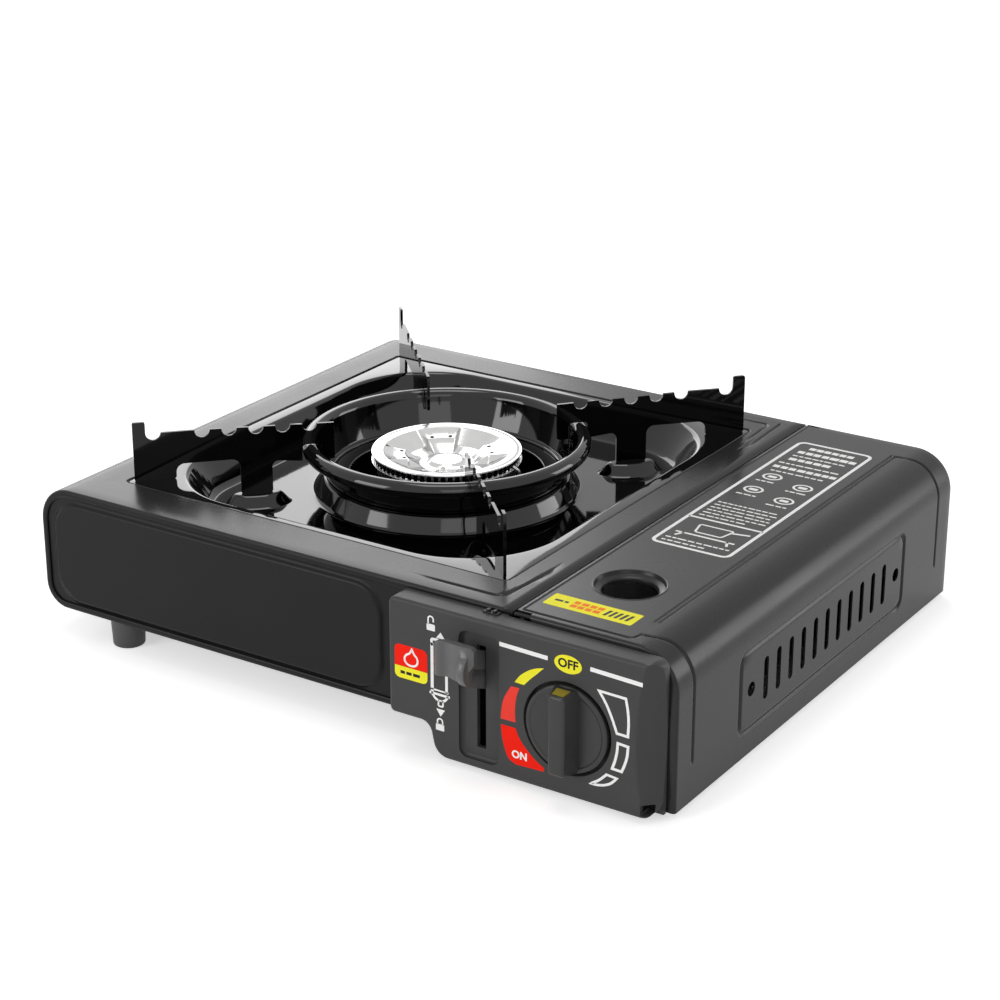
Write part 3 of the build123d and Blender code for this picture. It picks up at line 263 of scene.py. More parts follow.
# Turned brass: yellow, with a fine even sheen.
BRASS = Finish("turned_brass", "c9a45a", "b38d46", 0.28, metallic=1.0, texture=Texture.CAST,
               grain=0.4, relief=0.003, mottle_size=5.0)
# Soft copper tube, faintly tarnished.
COPPER = Finish("copper_pipe", "b87350", "9a5a3c", 0.3, metallic=1.0, texture=Texture.CAST,
                grain=0.8, relief=0.004, mottle_size=8.0)
# Moulded ABS of the panel: dark grey, with a dull spark-eroded grain.
PANEL_ABS = Finish("moulded_panel_abs", "424242", "464646", 0.40, texture=Texture.SPARK,
                   grain=0.45, relief=0.010, mottle_size=40.0, specular=0.15)
# Moulded knob: darker and a little smoother.
KNOB_ABS = Finish("moulded_knob_abs", "2d2d2d", "313131", 0.34, texture=Texture.SPARK, grain=0.4,
                  relief=0.006, mottle_size=20.0, specular=0.35)
# Moulded lever: lighter grey.
LEVER_ABS = Finish("moulded_lever_abs", "5c5c5c", "626262", 0.30, texture=Texture.SPARK, grain=0.4,
                   relief=0.006, mottle_size=15.0, specular=0.4)
# Natural nylon of the igniter: milky, half dull.
WHITE_NYLON = Finish("natural_nylon", "d8d4c8", "cbc6b6", 0.45, texture=Texture.SPARK, grain=0.5,
                     relief=0.006, mottle_size=10.0)
# Glazed steatite sleeve: ivory, glossy.
CERAMIC = Finish("glazed_steatite", "eeebe3", "e2ddd0", 0.22, texture=Texture.ORANGE_PEEL,
                 grain=1.5, relief=0.006, mottle_size=6.0)
# Silicone sleeve of the ignition lead: pale, dull.
LEAD_SILICONE = Finish("silicone_sleeve", "c9c6bf", "bab6ad", 0.55, texture=Texture.CAST,
                       grain=0.6, relief=0.006, mottle_size=10.0)
# Feet: grey moulded PVC with a fine grain.
FOOT_PVC = Finish("moulded_foot_pvc", "3c3c3c", "434343", 0.55, texture=Texture.SPARK, grain=0.6,
                  relief=0.014, mottle_size=9.0)
# White screen ink, with patches a little smaller than those of the colours.
WHITE_INK = replace(printing_ink("white_ink", "ffffff", "f6f6f4", 0.2), mottle_size=3.0)
# Bright red ink of the card and of the dial's lowest mark.
RED_INK = printing_ink("red_ink", "ff2410", "fa1e0c")
# The thinner red of the dial's middle mark.
PALE_RED_INK = printing_ink("pale_red_ink", "f8483a", "f44034")
# Lemon yellow ink.
YELLOW_INK = printing_ink("yellow_ink", "fff838", "f8f032")
# Black ink over the yellow.
BLACK_INK = printing_ink("black_ink", "161616", "1c1c1c", 0.2)
# Orange ink over the yellow.
ORANGE_INK = printing_ink("orange_ink", "ff8a1c", "f88018")
# Ochre paint of the knob's pointer.
OCHRE_INK = printing_ink("ochre_pointer", "94842a", "887a26", 0.2)


# ---- drawing ----------------------------------------------------------------------------------
def rounded(corners: Sequence[Corner], steps: int = 5, closed: bool = True) -> list[Point]:
    """Line through corners, with each corner turned into an arc.

    Args:
        corners: Each corner's two coordinates and its radius.
        steps: Chords in each arc.
        closed: Whether the last corner joins the first.

    Returns:
        Points of the line.
    """
    points: list[Point] = []
    count = len(corners)
    for i, (a, b, radius) in enumerate(corners):
        here = Vector((a, b))
        if radius <= 0 or (not closed and i in (0, count - 1)):
            points.append((a, b))
            continue
        back = (Vector(corners[i - 1][:2]) - here).normalized()
        on = (Vector(corners[(i + 1) % count][:2]) - here).normalized()
        half = back.angle(on) / 2
        centre = here + (back + on).normalized() * (radius / math.sin(half))
        start = here + back * (radius / math.tan(half)) - centre
        end = here + on * (radius / math.tan(half)) - centre
        turn = math.atan2(start.x * end.y - start.y * end.x, start.dot(end))
        for k in range(steps + 1):
            spot = centre + Matrix.Rotation(turn * k / steps, 2) @ start
            points.append((spot.x, spot.y))
    return points


def curve_through(points: Sequence[Point], steps: int = 4) -> list[Point]:
    """Smooth line through every given point.

    Args:
        points: Places on the line.
        steps: Chords between two places.

    Returns:
        Points of the line, both ends included.
    """
    spots = [Vector(point) for point in points]
    spots = [spots[0] * 2 - spots[1], *spots, spots[-1] * 2 - spots[-2]]
    line: list[Point] = []
    for before, start, end, after in zip(spots, spots[1:], spots[2:], spots[3:]):
        for i in range(steps):
            t = i / steps
            spot = (start * 2 + (end - before) * t
                    + (before * 2 - start * 5 + end * 4 - after) * t * t
                    + (start * 3 - before - end * 3 + after) * t * t * t) / 2
            line.append((spot.x, spot.y))
    return line + [tuple(points[-1])]


def joined(*runs: Sequence[Point]) -> list[Point]:
    """Closed outline of several runs, each of which starts where the last one ended."""
    return [point for run in runs for point in run[:-1]]


def patch(*sides: Sequence[Point]) -> list[Point]:
    """Closed outline of several sides; a side of more than two points is a smooth curve."""
    return joined(*(curve_through(side) if len(side) > 2 else side for side in sides))


def arc(x: float, y: float, radius: float, start: float, end: float) -> list[Point]:
    """Draw an arc.

    Args:
        x: First coordinate of its middle.
        y: Second coordinate of its middle.
        radius: Its radius.
        start: Angle of its first end, in degrees.
        end: Angle of its last end.

    Returns:
        Points of the arc, both ends included.
    """
    steps = 16
    angles = [math.radians(start + (end - start) * i / steps) for i in range(steps + 1)]
    return [(x + radius * math.cos(a), y + radius * math.sin(a)) for a in angles]


def box_corners(x0: float, y0: float, x1: float, y1: float, radius: float) -> list[Corner]:
    """Corners of a rectangle, all rounded alike."""
    return [(x0, y0, radius), (x1, y0, radius), (x1, y1, radius), (x0, y1, radius)]


def oval(x: float, y: float, half_x: float, half_y: float, steps: int) -> list[Point]:
    """Points round an oval about a middle."""
    return [(x + half_x * math.cos(a), y + half_y * math.sin(a))
            for a in (math.tau * i / steps for i in range(steps))]


def box_distance(x: float, y: float, half_x: float, half_y: float, radius: float) -> float:
    """Measure from a point to a rounded rectangle about the origin.

    Args:
        x: The point's first coordinate.
        y: Its second coordinate.
        half_x: Half the rectangle's width.
        half_y: Half its height.
        radius: Radius of its corners.

    Returns:
        The distance, negative inside.
    """
    qx = abs(x) - half_x + radius
    qy = abs(y) - half_y + radius
    return math.hypot(max(qx, 0.0), max(qy, 0.0)) + min(max(qx, qy), 0.0) - radius


def line_distance(x: float, y: float, points: Sequence[Point]) -> float:
    """Measure from a point to a line of straight runs.

    Args:
        x: The point's first coordinate.
        y: Its second coordinate.
        points: Corners of the line.

    Returns:
        The shortest distance.
    """
    best = 1e9
    spot = Vector((x, y))
    for start, end in zip(points, points[1:]):
        a = Vector(start)
        run = Vector(end) - a
        share = min(max((spot - a).dot(run) / run.length_squared, 0.0), 1.0)
        best = min(best, (spot - a - run * share).length)
    return best


def ramp(value: float, low: float, high: float) -> float:
    """Smooth rise from 0 at low to 1 at high."""
    share = min(max((value - low) / (high - low), 0.0), 1.0)
    return share * share * (3 - 2 * share)


def ridge(distance: float, half_width: float) -> float:
    """Rounded bump that is 1 on a line and 0 at half_width from it."""
    return 1.0 - ramp(abs(distance), 0.0, half_width)


def ticks(low: float, high: float, spacing: float, fine: Sequence[float] = (),
          reach: float = 1.6, step: float = 0.4) -> list[float]:
    """Divisions between two ends, closer together beside chosen places.

    Args:
        low: First division.
        high: Last division.
        spacing: Widest distance between divisions.
        fine: Places with close divisions on both sides.
        reach: How far the close divisions go.
        step: Their distance.

    Returns:
        Rising divisions.
    """
    marks = {low, high}
    count = max(1, math.ceil((high - low) / spacing))
    coarse = [low + (high - low) * i / count for i in range(count + 1)]
    for mark in coarse:
        if all(abs(mark - place) > reach for place in fine):
            marks.add(mark)
    for place in fine:
        offset = -reach
        while offset <= reach + 1e-6:
            if low < place + offset < high:
                marks.add(place + offset)
            offset += step
    ordered = sorted(marks)
    kept = [ordered[0]]
    for mark in ordered[1:]:
        if mark - kept[-1] > step * 0.45:
            kept.append(mark)
    kept[-1] = high
    return kept


# ---- mesh helpers -----------------------------------------------------------------------------
def lattice(bm: bmesh.types.BMesh, columns: int, rows: int,
            place: Callable[[int, int], Vector]) -> None:
    """Add a grid whose points are moved to their places, and merge the points that meet.

    Args:
        bm: Mesh that takes the grid.
        columns: Divisions one way.
        rows: Divisions the other way.
        place: Gives a point in millimetres from its column and row.
    """
    made = bmesh.ops.create_grid(bm, x_segments=columns, y_segments=rows, size=0.5)["verts"]
    for vert in made:
        column = round((vert.co.x + 0.5) * columns)
        row = round((vert.co.y + 0.5) * rows)
        vert.co = place(column, row) * MM
    bmesh.ops.remove_doubles(bm, verts=made, dist=MERGE)


def turned(bm: bmesh.types.BMesh, profile: Sequence[Point], centre: Vector, axis: Vector,
           steps: int, closed: bool = False) -> None:
    """Spin a profile about an axis, with the faces outwards.

    Args:
        bm: Mesh that takes the turned form.
        profile: Points of (radius, height along the axis).
        centre: Point on the axis, in millimetres.
        axis: Unit direction of the axis.
        steps: Divisions round the axis.
        closed: Whether the profile's last point joins its first.
    """
    side = axis.orthogonal().normalized()
    verts = [bm.verts.new((centre + side * radius + axis * height) * MM)
             for radius, height in profile]
    pairs = list(zip(verts, verts[1:])) + ([(verts[-1], verts[0])] if closed else [])
    edges = [bm.edges.new(pair) for pair in pairs]
    bmesh.ops.spin(bm, geom=verts + edges, cent=centre * MM, axis=axis, dvec=(0, 0, 0),
                   angle=math.tau, steps=steps, use_merge=True)
    bmesh.ops.remove_doubles(bm, verts=bm.verts[:], dist=MERGE)
    bmesh.ops.recalc_face_normals(bm, faces=bm.faces[:])


def slab(bm: bmesh.types.BMesh, points: Sequence[Point], origin: Vector, across: Vector,
         up: Vector, thickness: float) -> None:
    """Extrude a flat outline into a plate.

    Args:
        bm: Mesh that takes the plate.
        points: Outline in the plate's own plane, in millimetres.
        origin: Where the outline's origin lies.
        across: Direction of the outline's first coordinate.
        up: Direction of its second coordinate.
        thickness: Thickness along across x up; negative goes the other way.
    """
    normal = across.cross(up)
    verts = [bm.verts.new((origin + across * a + up * b) * MM) for a, b in points]
    face = bm.faces.new(verts)
    grown = bmesh.ops.extrude_face_region(bm, geom=[face])["geom"]
    moved = [item for item in grown if isinstance(item, bmesh.types.BMVert)]
    bmesh.ops.translate(bm, verts=moved, vec=normal * thickness * MM)
    faces = list({face for vert in verts + moved for face in vert.link_faces})
    bmesh.ops.recalc_face_normals(bm, faces=faces)


def bar(bm: bmesh.types.BMesh, low: Sequence[float], high: Sequence[float]) -> None:
    """Add a box.

    Args:
        bm: Mesh that takes the box.
        low: Its lowest corner, in millimetres.
        high: Its highest corner.
    """
    low_corner = Vector(low)
    high_corner = Vector(high)
    made = bmesh.ops.create_cube(bm, size=1.0)["verts"]
    bmesh.ops.scale(bm, verts=made, vec=(high_corner - low_corner) * MM)
    bmesh.ops.translate(bm, verts=made, vec=(low_corner + high_corner) / 2 * MM)


def rod(bm: bmesh.types.BMesh, centre: Vector, radius: float, length: float, segments: int,
        axis: str = "Z") -> None:
    """Add a plain cylinder.

    Args:
        bm: Mesh that takes the cylinder.
        centre: Its middle, in millimetres.
        radius: Its radius.
        length: Its length.
        segments: Sides round it.
        axis: "Z" for an upright one, or "X" or "Y" for one turned a quarter about that axis.
    """
    place = Matrix.Translation(centre * MM)
    if axis != "Z":
        place = place @ Matrix.Rotation(math.pi / 2, 4, axis)
    bmesh.ops.create_cone(bm, cap_ends=True, segments=segments, radius1=radius * MM,
                          radius2=radius * MM, depth=length * MM, matrix=place)


def merge_into(bm: bmesh.types.BMesh, part: bmesh.types.BMesh) -> None:
    """Move all of a part's mesh into another mesh.

    Args:
        bm: Mesh that takes the part.
        part: The part; it is freed.
    """
    mesh = bpy.data.meshes.new("part")
    part.to_mesh(mesh)
    part.free()
    bm.from_mesh(mesh)
    bpy.data.meshes.remove(mesh)


def face_outwards(bm: bmesh.types.BMesh, towards: Callable[[Vector], Vector]) -> None:
    """Turn an open sheet's faces so that they agree and look the given way.

    Args:
        bm: The sheet.
        towards: Gives the outward direction at a place in metres.
    """
    bmesh.ops.recalc_face_normals(bm, faces=bm.faces[:])
    agreement = sum(face.normal.dot(towards(face.calc_center_median())) * face.calc_area()
                    for face in bm.faces)
    if agreement < 0:
        bmesh.ops.reverse_faces(bm, faces=bm.faces[:])


def shade(mesh: bpy.types.Mesh, smooth: float) -> None:
    """Shade a mesh smooth, with edges above an angle in degrees kept sharp."""
    mesh.shade_smooth()
    mesh.set_sharp_from_angle(angle=math.radians(smooth))


def place_in_scene(name: str, mesh: bpy.types.Mesh) -> bpy.types.Object:
    """Put a mesh into the scene at the origin.

    Args:
        name: Name of the object.
        mesh: Its mesh.

    Returns:
        The linked object.
    """
    made = bpy.data.objects.new(name, mesh)
    bpy.context.scene.collection.objects.link(made)
    return made


def piece(bm: bmesh.types.BMesh, name: str, finish: Finish,
          smooth: float = 40.0) -> bpy.types.Object:
    """Turn a bmesh into an object at the origin.

    Args:
        bm: Finished mesh; it is freed.
        name: Name of the object.
        finish: Its surface.
        smooth: Angle in degrees above which an edge stays sharp.

    Returns:
        The linked object.
    """
    mesh = bpy.data.meshes.new(name)
    bm.to_mesh(mesh)
    bm.free()
    shade(mesh, smooth)
    mesh.materials.append(finish.material())
    return place_in_scene(name, mesh)


def thicken(obj: bpy.types.Object, thickness: float, offset: float = -1.0) -> None:
    """Give a sheet its thickness.

    Args:
        obj: The sheet.
        thickness: Its thickness in millimetres.
        offset: -1 to thicken it inwards from its faces, 0 for both ways.
    """
    wall = obj.modifiers.new("sheet", "SOLIDIFY")
    wall.thickness = thickness * MM
    wall.offset = offset
    wall.use_even_offset = True
    wall.thickness_clamp = 0.0


def soften(obj: bpy.types.Object, width: float, segments: int = 2) -> None:
    """Round the sharp edges of an object.

    Args:
        obj: The object.
        width: Width of the rounding in millimetres.
        segments: Facets in it.
    """
    edge = obj.modifiers.new("edges", "BEVEL")
    edge.width = width * MM
    edge.segments = segments
    edge.limit_method = "ANGLE"
    edge.angle_limit = math.radians(30.0)
    edge.harden_normals = True
    edge.use_clamp_overlap = True


def evaluated_mesh(obj: bpy.types.Object) -> bpy.types.Mesh:
    """Copy an object's mesh as its modifiers leave it."""
    bpy.context.view_layer.update()
    depsgraph = bpy.context.evaluated_depsgraph_get()
    return bpy.data.meshes.new_from_object(obj.evaluated_get(depsgraph))


def bake(obj: bpy.types.Object) -> None:
    """Apply an object's modifiers to its mesh.

    Args:
        obj: The object.
    """
    done = evaluated_mesh(obj)
    obj.modifiers.clear()
    obj.data = done
    shade(done, 40.0)


def cut(obj: bpy.types.Object, tool: bmesh.types.BMesh,
        joining: Joining = Joining.TAKE_AWAY) -> None:
    """Use a closed mesh as a tool on an object.

    Args:
        obj: Object to work on; its modifiers are applied first.
        tool: Closed mesh in metres; it is freed.
        joining: What the tool does.
    """
    bmesh.ops.recalc_face_normals(tool, faces=tool.faces[:])
    mesh = bpy.data.meshes.new("cutter")
    tool.to_mesh(mesh)
    tool.free()
    cutter = place_in_scene("cutter", mesh)
    trim = obj.modifiers.new("cut", "BOOLEAN")
    trim.object = cutter
    trim.operation = joining.value
    trim.solver = "EXACT"
    bake(obj)
    bpy.data.objects.remove(cutter)


def register(obj: bpy.types.Object, body: str, slot: str, *nodes: str) -> None:
    """Tie a finished piece to its body.

    Args:
        obj: The piece.
        body: Body that it moves with.
        slot: Name of a material slot; not used.
        nodes: CAD nodes that it stands for.
    """
    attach(obj, body)
    if nodes:
        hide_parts(*nodes)
    log.info("%s rides on %s and stands for %s", obj.name, body, ", ".join(nodes) or "nothing")


def dress(name: str, finish: Finish, edge: float = 0.0) -> None:
    """Give a CAD node its finish, and soften its edges.

    Args:
        name: CAD node.
        finish: Its surface.
        edge: Width of the softened edges in millimetres, or 0 to leave them.
    """
    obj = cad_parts[name]
    obj.data.materials.clear()
    obj.data.materials.append(finish.material())
    if edge > 0:
        weld = obj.modifiers.new("weld", "WELD")
        weld.merge_threshold = MERGE
        flat = obj.modifiers.new("flat", "DECIMATE")
        flat.decimate_type = "DISSOLVE"
        flat.angle_limit = math.radians(0.5)
        soften(obj, edge)


@dataclass
class Print:
    """Screen print on one flat face; its coordinates are millimetres along across and up."""

    origin: Vector
    across: Vector
    up: Vector
    ink: float = 0.05
    bm: bmesh.types.BMesh = field(default_factory=bmesh.new)

    def shape(self, points: Sequence[Point]) -> None:
        """Add one filled patch."""
        slab(self.bm, points, self.origin, self.across, self.up, self.ink)

    def line(self, points: Sequence[Point], width: float, closed: bool = True) -> None:
        """Add a line of even width with mitred corners.

        Args:
            points: Middle of the line.
            width: Its width.
            closed: Whether it runs back to its start.
        """
        spots = [Vector(point) for point in points]
        count = len(spots)
        sides: list[tuple[bmesh.types.BMVert, bmesh.types.BMVert]] = []
        for i, spot in enumerate(spots):
            back = spots[i - 1] if closed or i > 0 else spot * 2 - spots[1]
            on = spots[(i + 1) % count] if closed or i < count - 1 else spot * 2 - spots[i - 1]
            first, second = (spot - back).normalized(), (on - spot).normalized()
            bisector = (Vector((-first.y, first.x)) + Vector((-second.y, second.x))).normalized()
            reach = width / 2 / max(bisector.dot(Vector((-first.y, first.x))), 0.5)
            if not closed and i in (0, count - 1):
                spot = spot + (second if i else -first) * width / 2
            pair = (spot + bisector * reach, spot - bisector * reach)
            sides.append(tuple(
                self.bm.verts.new((self.origin + self.across * p.x + self.up * p.y) * MM)
                for p in pair))
        pairs = list(zip(sides, sides[1:] + sides[:1]))[:count if closed else count - 1]
        faces = [self.bm.faces.new((a[1], b[1], b[0], a[0])) for a, b in pairs]
        grown = bmesh.ops.extrude_face_region(self.bm, geom=faces, use_keep_orig=True)["geom"]
        moved = [item for item in grown if isinstance(item, bmesh.types.BMVert)]
        bmesh.ops.translate(self.bm, verts=moved, vec=self.across.cross(self.up) * self.ink * MM)

    def stroke(self, points: Sequence[Point], width: float) -> None:
        """Add a line that stays open at its ends."""
        self.line(points, width, closed=False)

    def box(self, x0: float, y0: float, x1: float, y1: float, radius: float = 0.0) -> None:
        """Add a filled rectangle."""
        self.shape(rounded(box_corners(x0, y0, x1, y1, radius), 4))

    def padlock(self, x: float, y: float, opened: bool) -> None:
        """Add a padlock sign.

        Args:
            x: Middle of the sign.
            y: Its height on the face.
            opened: Whether the shackle is swung up.
        """
        case_top = y + 0.8
        self.box(x - 2.1, y - 2.2, x + 2.1, case_top, 0.4)
        crown = y + (4.3 if opened else 3.3)
        shackle = rounded([(x - 1.3, case_top, 0), (x - 1.3, crown, 1.2), (x + 1.3, crown, 1.2),
                           (x + 1.3, y + 2.2 if opened else case_top, 0)], 4, closed=False)
        self.stroke(shackle, 0.7)

    def finish(self, name: str, ink: Finish, body: str, slot: str) -> None:
        """Turn the patches into one printed piece on a body."""
        bmesh.ops.recalc_face_normals(self.bm, faces=self.bm.faces[:])
        register(piece(self.bm, name, ink), body, slot)


# ---- pressed sheet ----------------------------------------------------------------------------
@dataclass
class FoldedSheet:
    """Sheet folded along a line in the front view, with a lip turned in at its front and rear."""

    line: list[tuple[float, float, float, float]] = field(default_factory=list)
    half_depth: float = 134.0
    lip: float = 3.5
    fold: float = 1.4
    depth_ticks: list[float] = field(default_factory=list)
    relief: Callable[[float, float, float], float] = lambda x, y, z: 0.0

    def run(self, along: Iterable[float], fixed: float, normal: Point) -> None:
        """Add a straight run of the line.

        Args:
            along: x of each point on a level run, or z on an upright one.
            fixed: The other coordinate.
            normal: Outward direction in the front view.
        """
        for value in along:
            spot = (value, fixed) if normal[0] == 0 else (fixed, value)
            self.line.append((*spot, *normal))

    def bend(self, centre: Point, radius: float, start: float, end: float, steps: int) -> None:
        """Add an arc of the line, without its end points.

        Args:
            centre: Middle of the arc.
            radius: Its radius.
            start: Angle of its first end, in degrees.
            end: Angle of its last end.
            steps: Chords in it.
        """
        for i in range(1, steps):
            angle = math.radians(start + (end - start) * i / steps)
            out = (math.cos(angle), math.sin(angle))
            self.line.append((centre[0] + radius * out[0], centre[1] + radius * out[1], *out))

    def stations(self) -> list[Point]:
        """List the sheet's divisions from front to rear.

        Returns:
            Each division's depth, and how far the sheet has turned inwards there.
        """
        flat_end = self.half_depth - self.fold
        corner = [(flat_end + self.fold * math.sin(turn), self.fold * (1 - math.cos(turn)))
                  for turn in map(math.radians, (18, 36, 54, 72, 90))]
        down = [(self.half_depth, self.fold + (self.lip - self.fold) * i / 2) for i in (1, 2)]
        side = corner + down
        front = [(-y, depth) for y, depth in reversed(side)]
        return front + [(y, 0.0) for y in self.depth_ticks] + side

    def shape(self) -> bmesh.types.BMesh:
        """Build the open sheet with its relief pressed in.

        Returns:
            The sheet's mesh, with its faces outwards.
        """
        stations = self.stations()
        bm = bmesh.new()

        def place(column: int, row: int) -> Vector:
            """Find a point of the sheet.

            Args:
                column: Division of the line.
                row: Division of the depth.

            Returns:
                The point, in millimetres.
            """
            x, z, nx, nz = self.line[column]
            y, depth = stations[row]
            rise = self.relief(x, y, z) if depth == 0.0 else 0.0
            return Vector((x + nx * (rise - depth), y, z + nz * (rise - depth)))

        lattice(bm, len(self.line) - 1, len(stations) - 1, place)
        inside = Vector((0.0, 0.0, 20.0)) * MM
        face_outwards(bm, lambda spot: spot - inside)
        return bm


def drop_faces(bm: bmesh.types.BMesh, inside: Callable[[Vector], bool]) -> None:
    """Delete the faces whose middle, in millimetres, is inside a region."""
    doomed = [face for face in bm.faces if inside(face.calc_center_median() / MM)]
    bmesh.ops.delete(bm, geom=doomed, context="FACES")


@dataclass
class Body:
    """Cooking side: folded shell, end plates, feet.  Grooves are lines in the top view."""

    left: float = -170.0
    seam: float = 91.5
    bottom: float = 13.2
    top_radius: float = 17.0
    low_radius: float = 12.0
    recess: Point = (105.9, 110.45)
    recess_radius: float = 3.0
    ledge: float = 4.2
    drop: float = 1.2
    field_box: tuple[float, float, float, float] = (-163.0, 17.2, 26.0, 69.0)
    field_radius: float = 15.0
    field_height: float = 1.5
    spindle_hole: float = 9.0
    rear_vents: int = 7
    rear_vent_pitch: float = 14.0
    front_groove: tuple[Point, ...] = ((44.5, -124.4), (76.4, -124.2), (79.6, -122.6),
                                       (80.6, -119.0), (83.0, -88.6))
    rear_groove: tuple[Point, ...] = ((81.0, 126.2), (81.8, 108.0), (82.6, 93.4), (80.6, 91.6))
    rear_inner: tuple[Point, ...] = ((62.4, 122.4), (74.8, 122.8), (76.6, 121.0), (77.8, 98.0))

    def top_relief(self, x: float, y: float, z: float) -> float:
        """Shape the shell's top: the tray's recess and the pressed corner lines.

        Args:
            x: Place on the sheet.
            y: Its depth.
            z: Its height; only the top has relief.

        Returns:
            How far the sheet rises there.
        """
        if z < BODY_TOP - 0.01:
            return 0.0
        inset = box_distance(x - BURNER.x, y - BURNER.y, *self.recess, self.recess_radius)
        rise = -self.drop * (1 - ramp(inset, -0.25, 0.7))
        for groove, depth, half_width in ((self.front_groove, 0.95, 1.15),
                                          (self.rear_groove, 0.8, 1.0),
                                          (self.rear_inner, 0.7, 1.0)):
            rise -= depth * ridge(line_distance(x, y, groove), half_width)
        return rise

    def build_shell(self) -> None:
        """Build the folded shell with its recess for the tray."""
        edges_x, edges_y = ([middle - half, middle + half]
                            for middle, half in zip(BURNER.xy, self.recess))
        hole_x, hole_y = ([low + self.ledge, high - self.ledge]
                          for low, high in (edges_x, edges_y))
        arc_left = self.left + self.top_radius
        x_marks = ticks(arc_left, self.seam, 6.0, edges_x + [76.9, 80.4, 82.0], 1.6, 0.33)
        x_marks = sorted({*x_marks, *hole_x})
        y_marks = ticks(-132.6, 132.6, 6.0, edges_y + [-124.0, 122.5, 126.7], 1.6, 0.33)
        y_marks = sorted({*y_marks, *hole_y})
        shell = FoldedSheet(relief=self.top_relief, depth_ticks=y_marks)
        shell.run(reversed(x_marks), BODY_TOP, (0.0, 1.0))
        shell.bend((arc_left, BODY_TOP - self.top_radius), self.top_radius, 90, 180, 12)
        side_low = self.bottom + self.low_radius
        side = ticks(-(BODY_TOP - self.top_radius), -side_low, 8.0)
        shell.run([-mark for mark in side], self.left, (-1.0, 0.0))
        shell.bend((self.left + self.low_radius, side_low), self.low_radius, 180, 270, 9)
        shell.run(ticks(self.left + self.low_radius, 91.2, 12.0), self.bottom, (0.0, -1.0))
        bm = shell.shape()
        drop_faces(bm, lambda p: (p.z > 60 and hole_x[0] < p.x < hole_x[1]
                                  and hole_y[0] < p.y < hole_y[1]))
        drop_faces(bm, lambda p: p.z < 30 and p.x > 57.0 and abs(p.y) > 131.5)
        made = piece(bm, "shell_pressing", BODY_PAINT)
        # Painted shade: the lip faces that look front or rear take the darker copy of the paint.
        made.data.materials.append(SHADED_FACES_PAINT.material())
        lip_y = 133.4 * MM
        for face in made.data.polygons:
            face.material_index = int(abs(face.normal.y) > 0.8 and abs(face.center.y) > lip_y)
        thicken(made, SHEET)
        register(made, "base", "body_paint", "body_shell")

    def plate_relief(self, x: float, z: float) -> float:
        """Shape an end plate's pressed field.

        Args:
            x: Place across the plate.
            z: Its height.

        Returns:
            How far the plate stands out there.
        """
        x0, z0, x1, z1 = self.field_box
        inset = box_distance(x - (x0 + x1) / 2, z - (z0 + z1) / 2, (x1 - x0) / 2, (z1 - z0) / 2,
                             self.field_radius)
        return self.field_height * ramp(-inset, 0.0, 2.4)

    @staticmethod
    def plate_outline(step_left: float, step_right: float) -> list[Point]:
        """Draw the front view of an end plate.

        Args:
            step_left: Where the low step of its lower edge starts.
            step_right: Where the step ends.

        Returns:
            The outline's points.
        """
        left, right = -168.9, 168.7
        top, high_edge, low_edge = BODY_TOP - 1.3, 14.3, 2.5
        return rounded([(left, top, 15.9), (left, high_edge, 10.9), (step_left, high_edge, 0),
                        (step_right, low_edge, 0), (right, low_edge, 3.0), (right, top, 17.3)], 8)

    def build_plate(self, name: str, face_y: float, out: float) -> None:
        """Build an end plate.

        Args:
            name: CAD node that it stands for.
            face_y: Depth of its outer face.
            out: -1 for the front plate, +1 for the rear one.
        """
        x0, z0, x1, z1 = self.field_box
        x_marks = ticks(-172.0, 172.0, 7.0, [x0 + 1.2, x1 - 1.2], 2.4, 0.4)
        x_marks = sorted({*x_marks, *ticks(x0, x0 + 16, 1.2), *ticks(x1 - 16, x1, 1.2)})
        z_marks = ticks(1.0, 74.0, 4.0, [z0 + 1.2, z1 - 1.2], 2.4, 0.4)
        z_marks = sorted({*z_marks, *ticks(z0, z0 + 16, 1.2), *ticks(z1 - 16, z1, 1.2)})
        bm = bmesh.new()

        def place(column: int, row: int) -> Vector:
            """Point of the plate at a division across and one upwards."""
            x, z = x_marks[column], z_marks[row]
            return Vector((x, face_y + out * self.plate_relief(x, z), z))

        lattice(bm, len(x_marks) - 1, len(z_marks) - 1, place)
        face_outwards(bm, lambda spot: Y_AXIS * out)
        # Painted shade: the end plates take the darker copy of the body's paint.
        made = piece(bm, name + "_pressing", SHADED_FACES_PAINT)
        thicken(made, SHEET)
        bake(made)
        keep = bmesh.new()
        steps = (59.0, 67.8) if out < 0 else (91.0, 91.4)
        slab(keep, self.plate_outline(*steps), Y_AXIS * (face_y - 4), X_AXIS, Z_AXIS, -8)
        cut(made, keep, Joining.KEEP_INSIDE)
        holes = bmesh.new()
        if out < 0:
            rod(holes, Vector((KNOB.x, face_y, KNOB.z)), self.spindle_hole, 6, 32, "X")
            bar(holes, (78.8, face_y - 3, 10.8), (85.2, face_y + 3, 60.1))
        else:
            for i in range(self.rear_vents):
                x = (x0 + x1) / 2 + (i - (self.rear_vents - 1) / 2) * self.rear_vent_pitch
                slab(holes, rounded(box_corners(x - 1.75, 31.1, x + 1.75, 55.1, 1.74), 6),
                     Y_AXIS * (face_y - 5), X_AXIS, Z_AXIS, -12)
        cut(made, holes)
        register(made, "base", "front_paint", name)

    @staticmethod
    def build_foot(profile: Sequence[Corner], place: Vector, steps: int, name: str,
                   node: str) -> None:
        """Build one foot.

        Args:
            profile: Corners of its turned outline.
            place: Point on its axis.
            steps: Divisions round it.
            name: Name of the piece.
            node: CAD node that it stands for.
        """
        bm = bmesh.new()
        turned(bm, rounded(profile, 4, closed=False), place, Z_AXIS, steps)
        register(piece(bm, name, FOOT_PVC), "base", "foot_plastic", node)

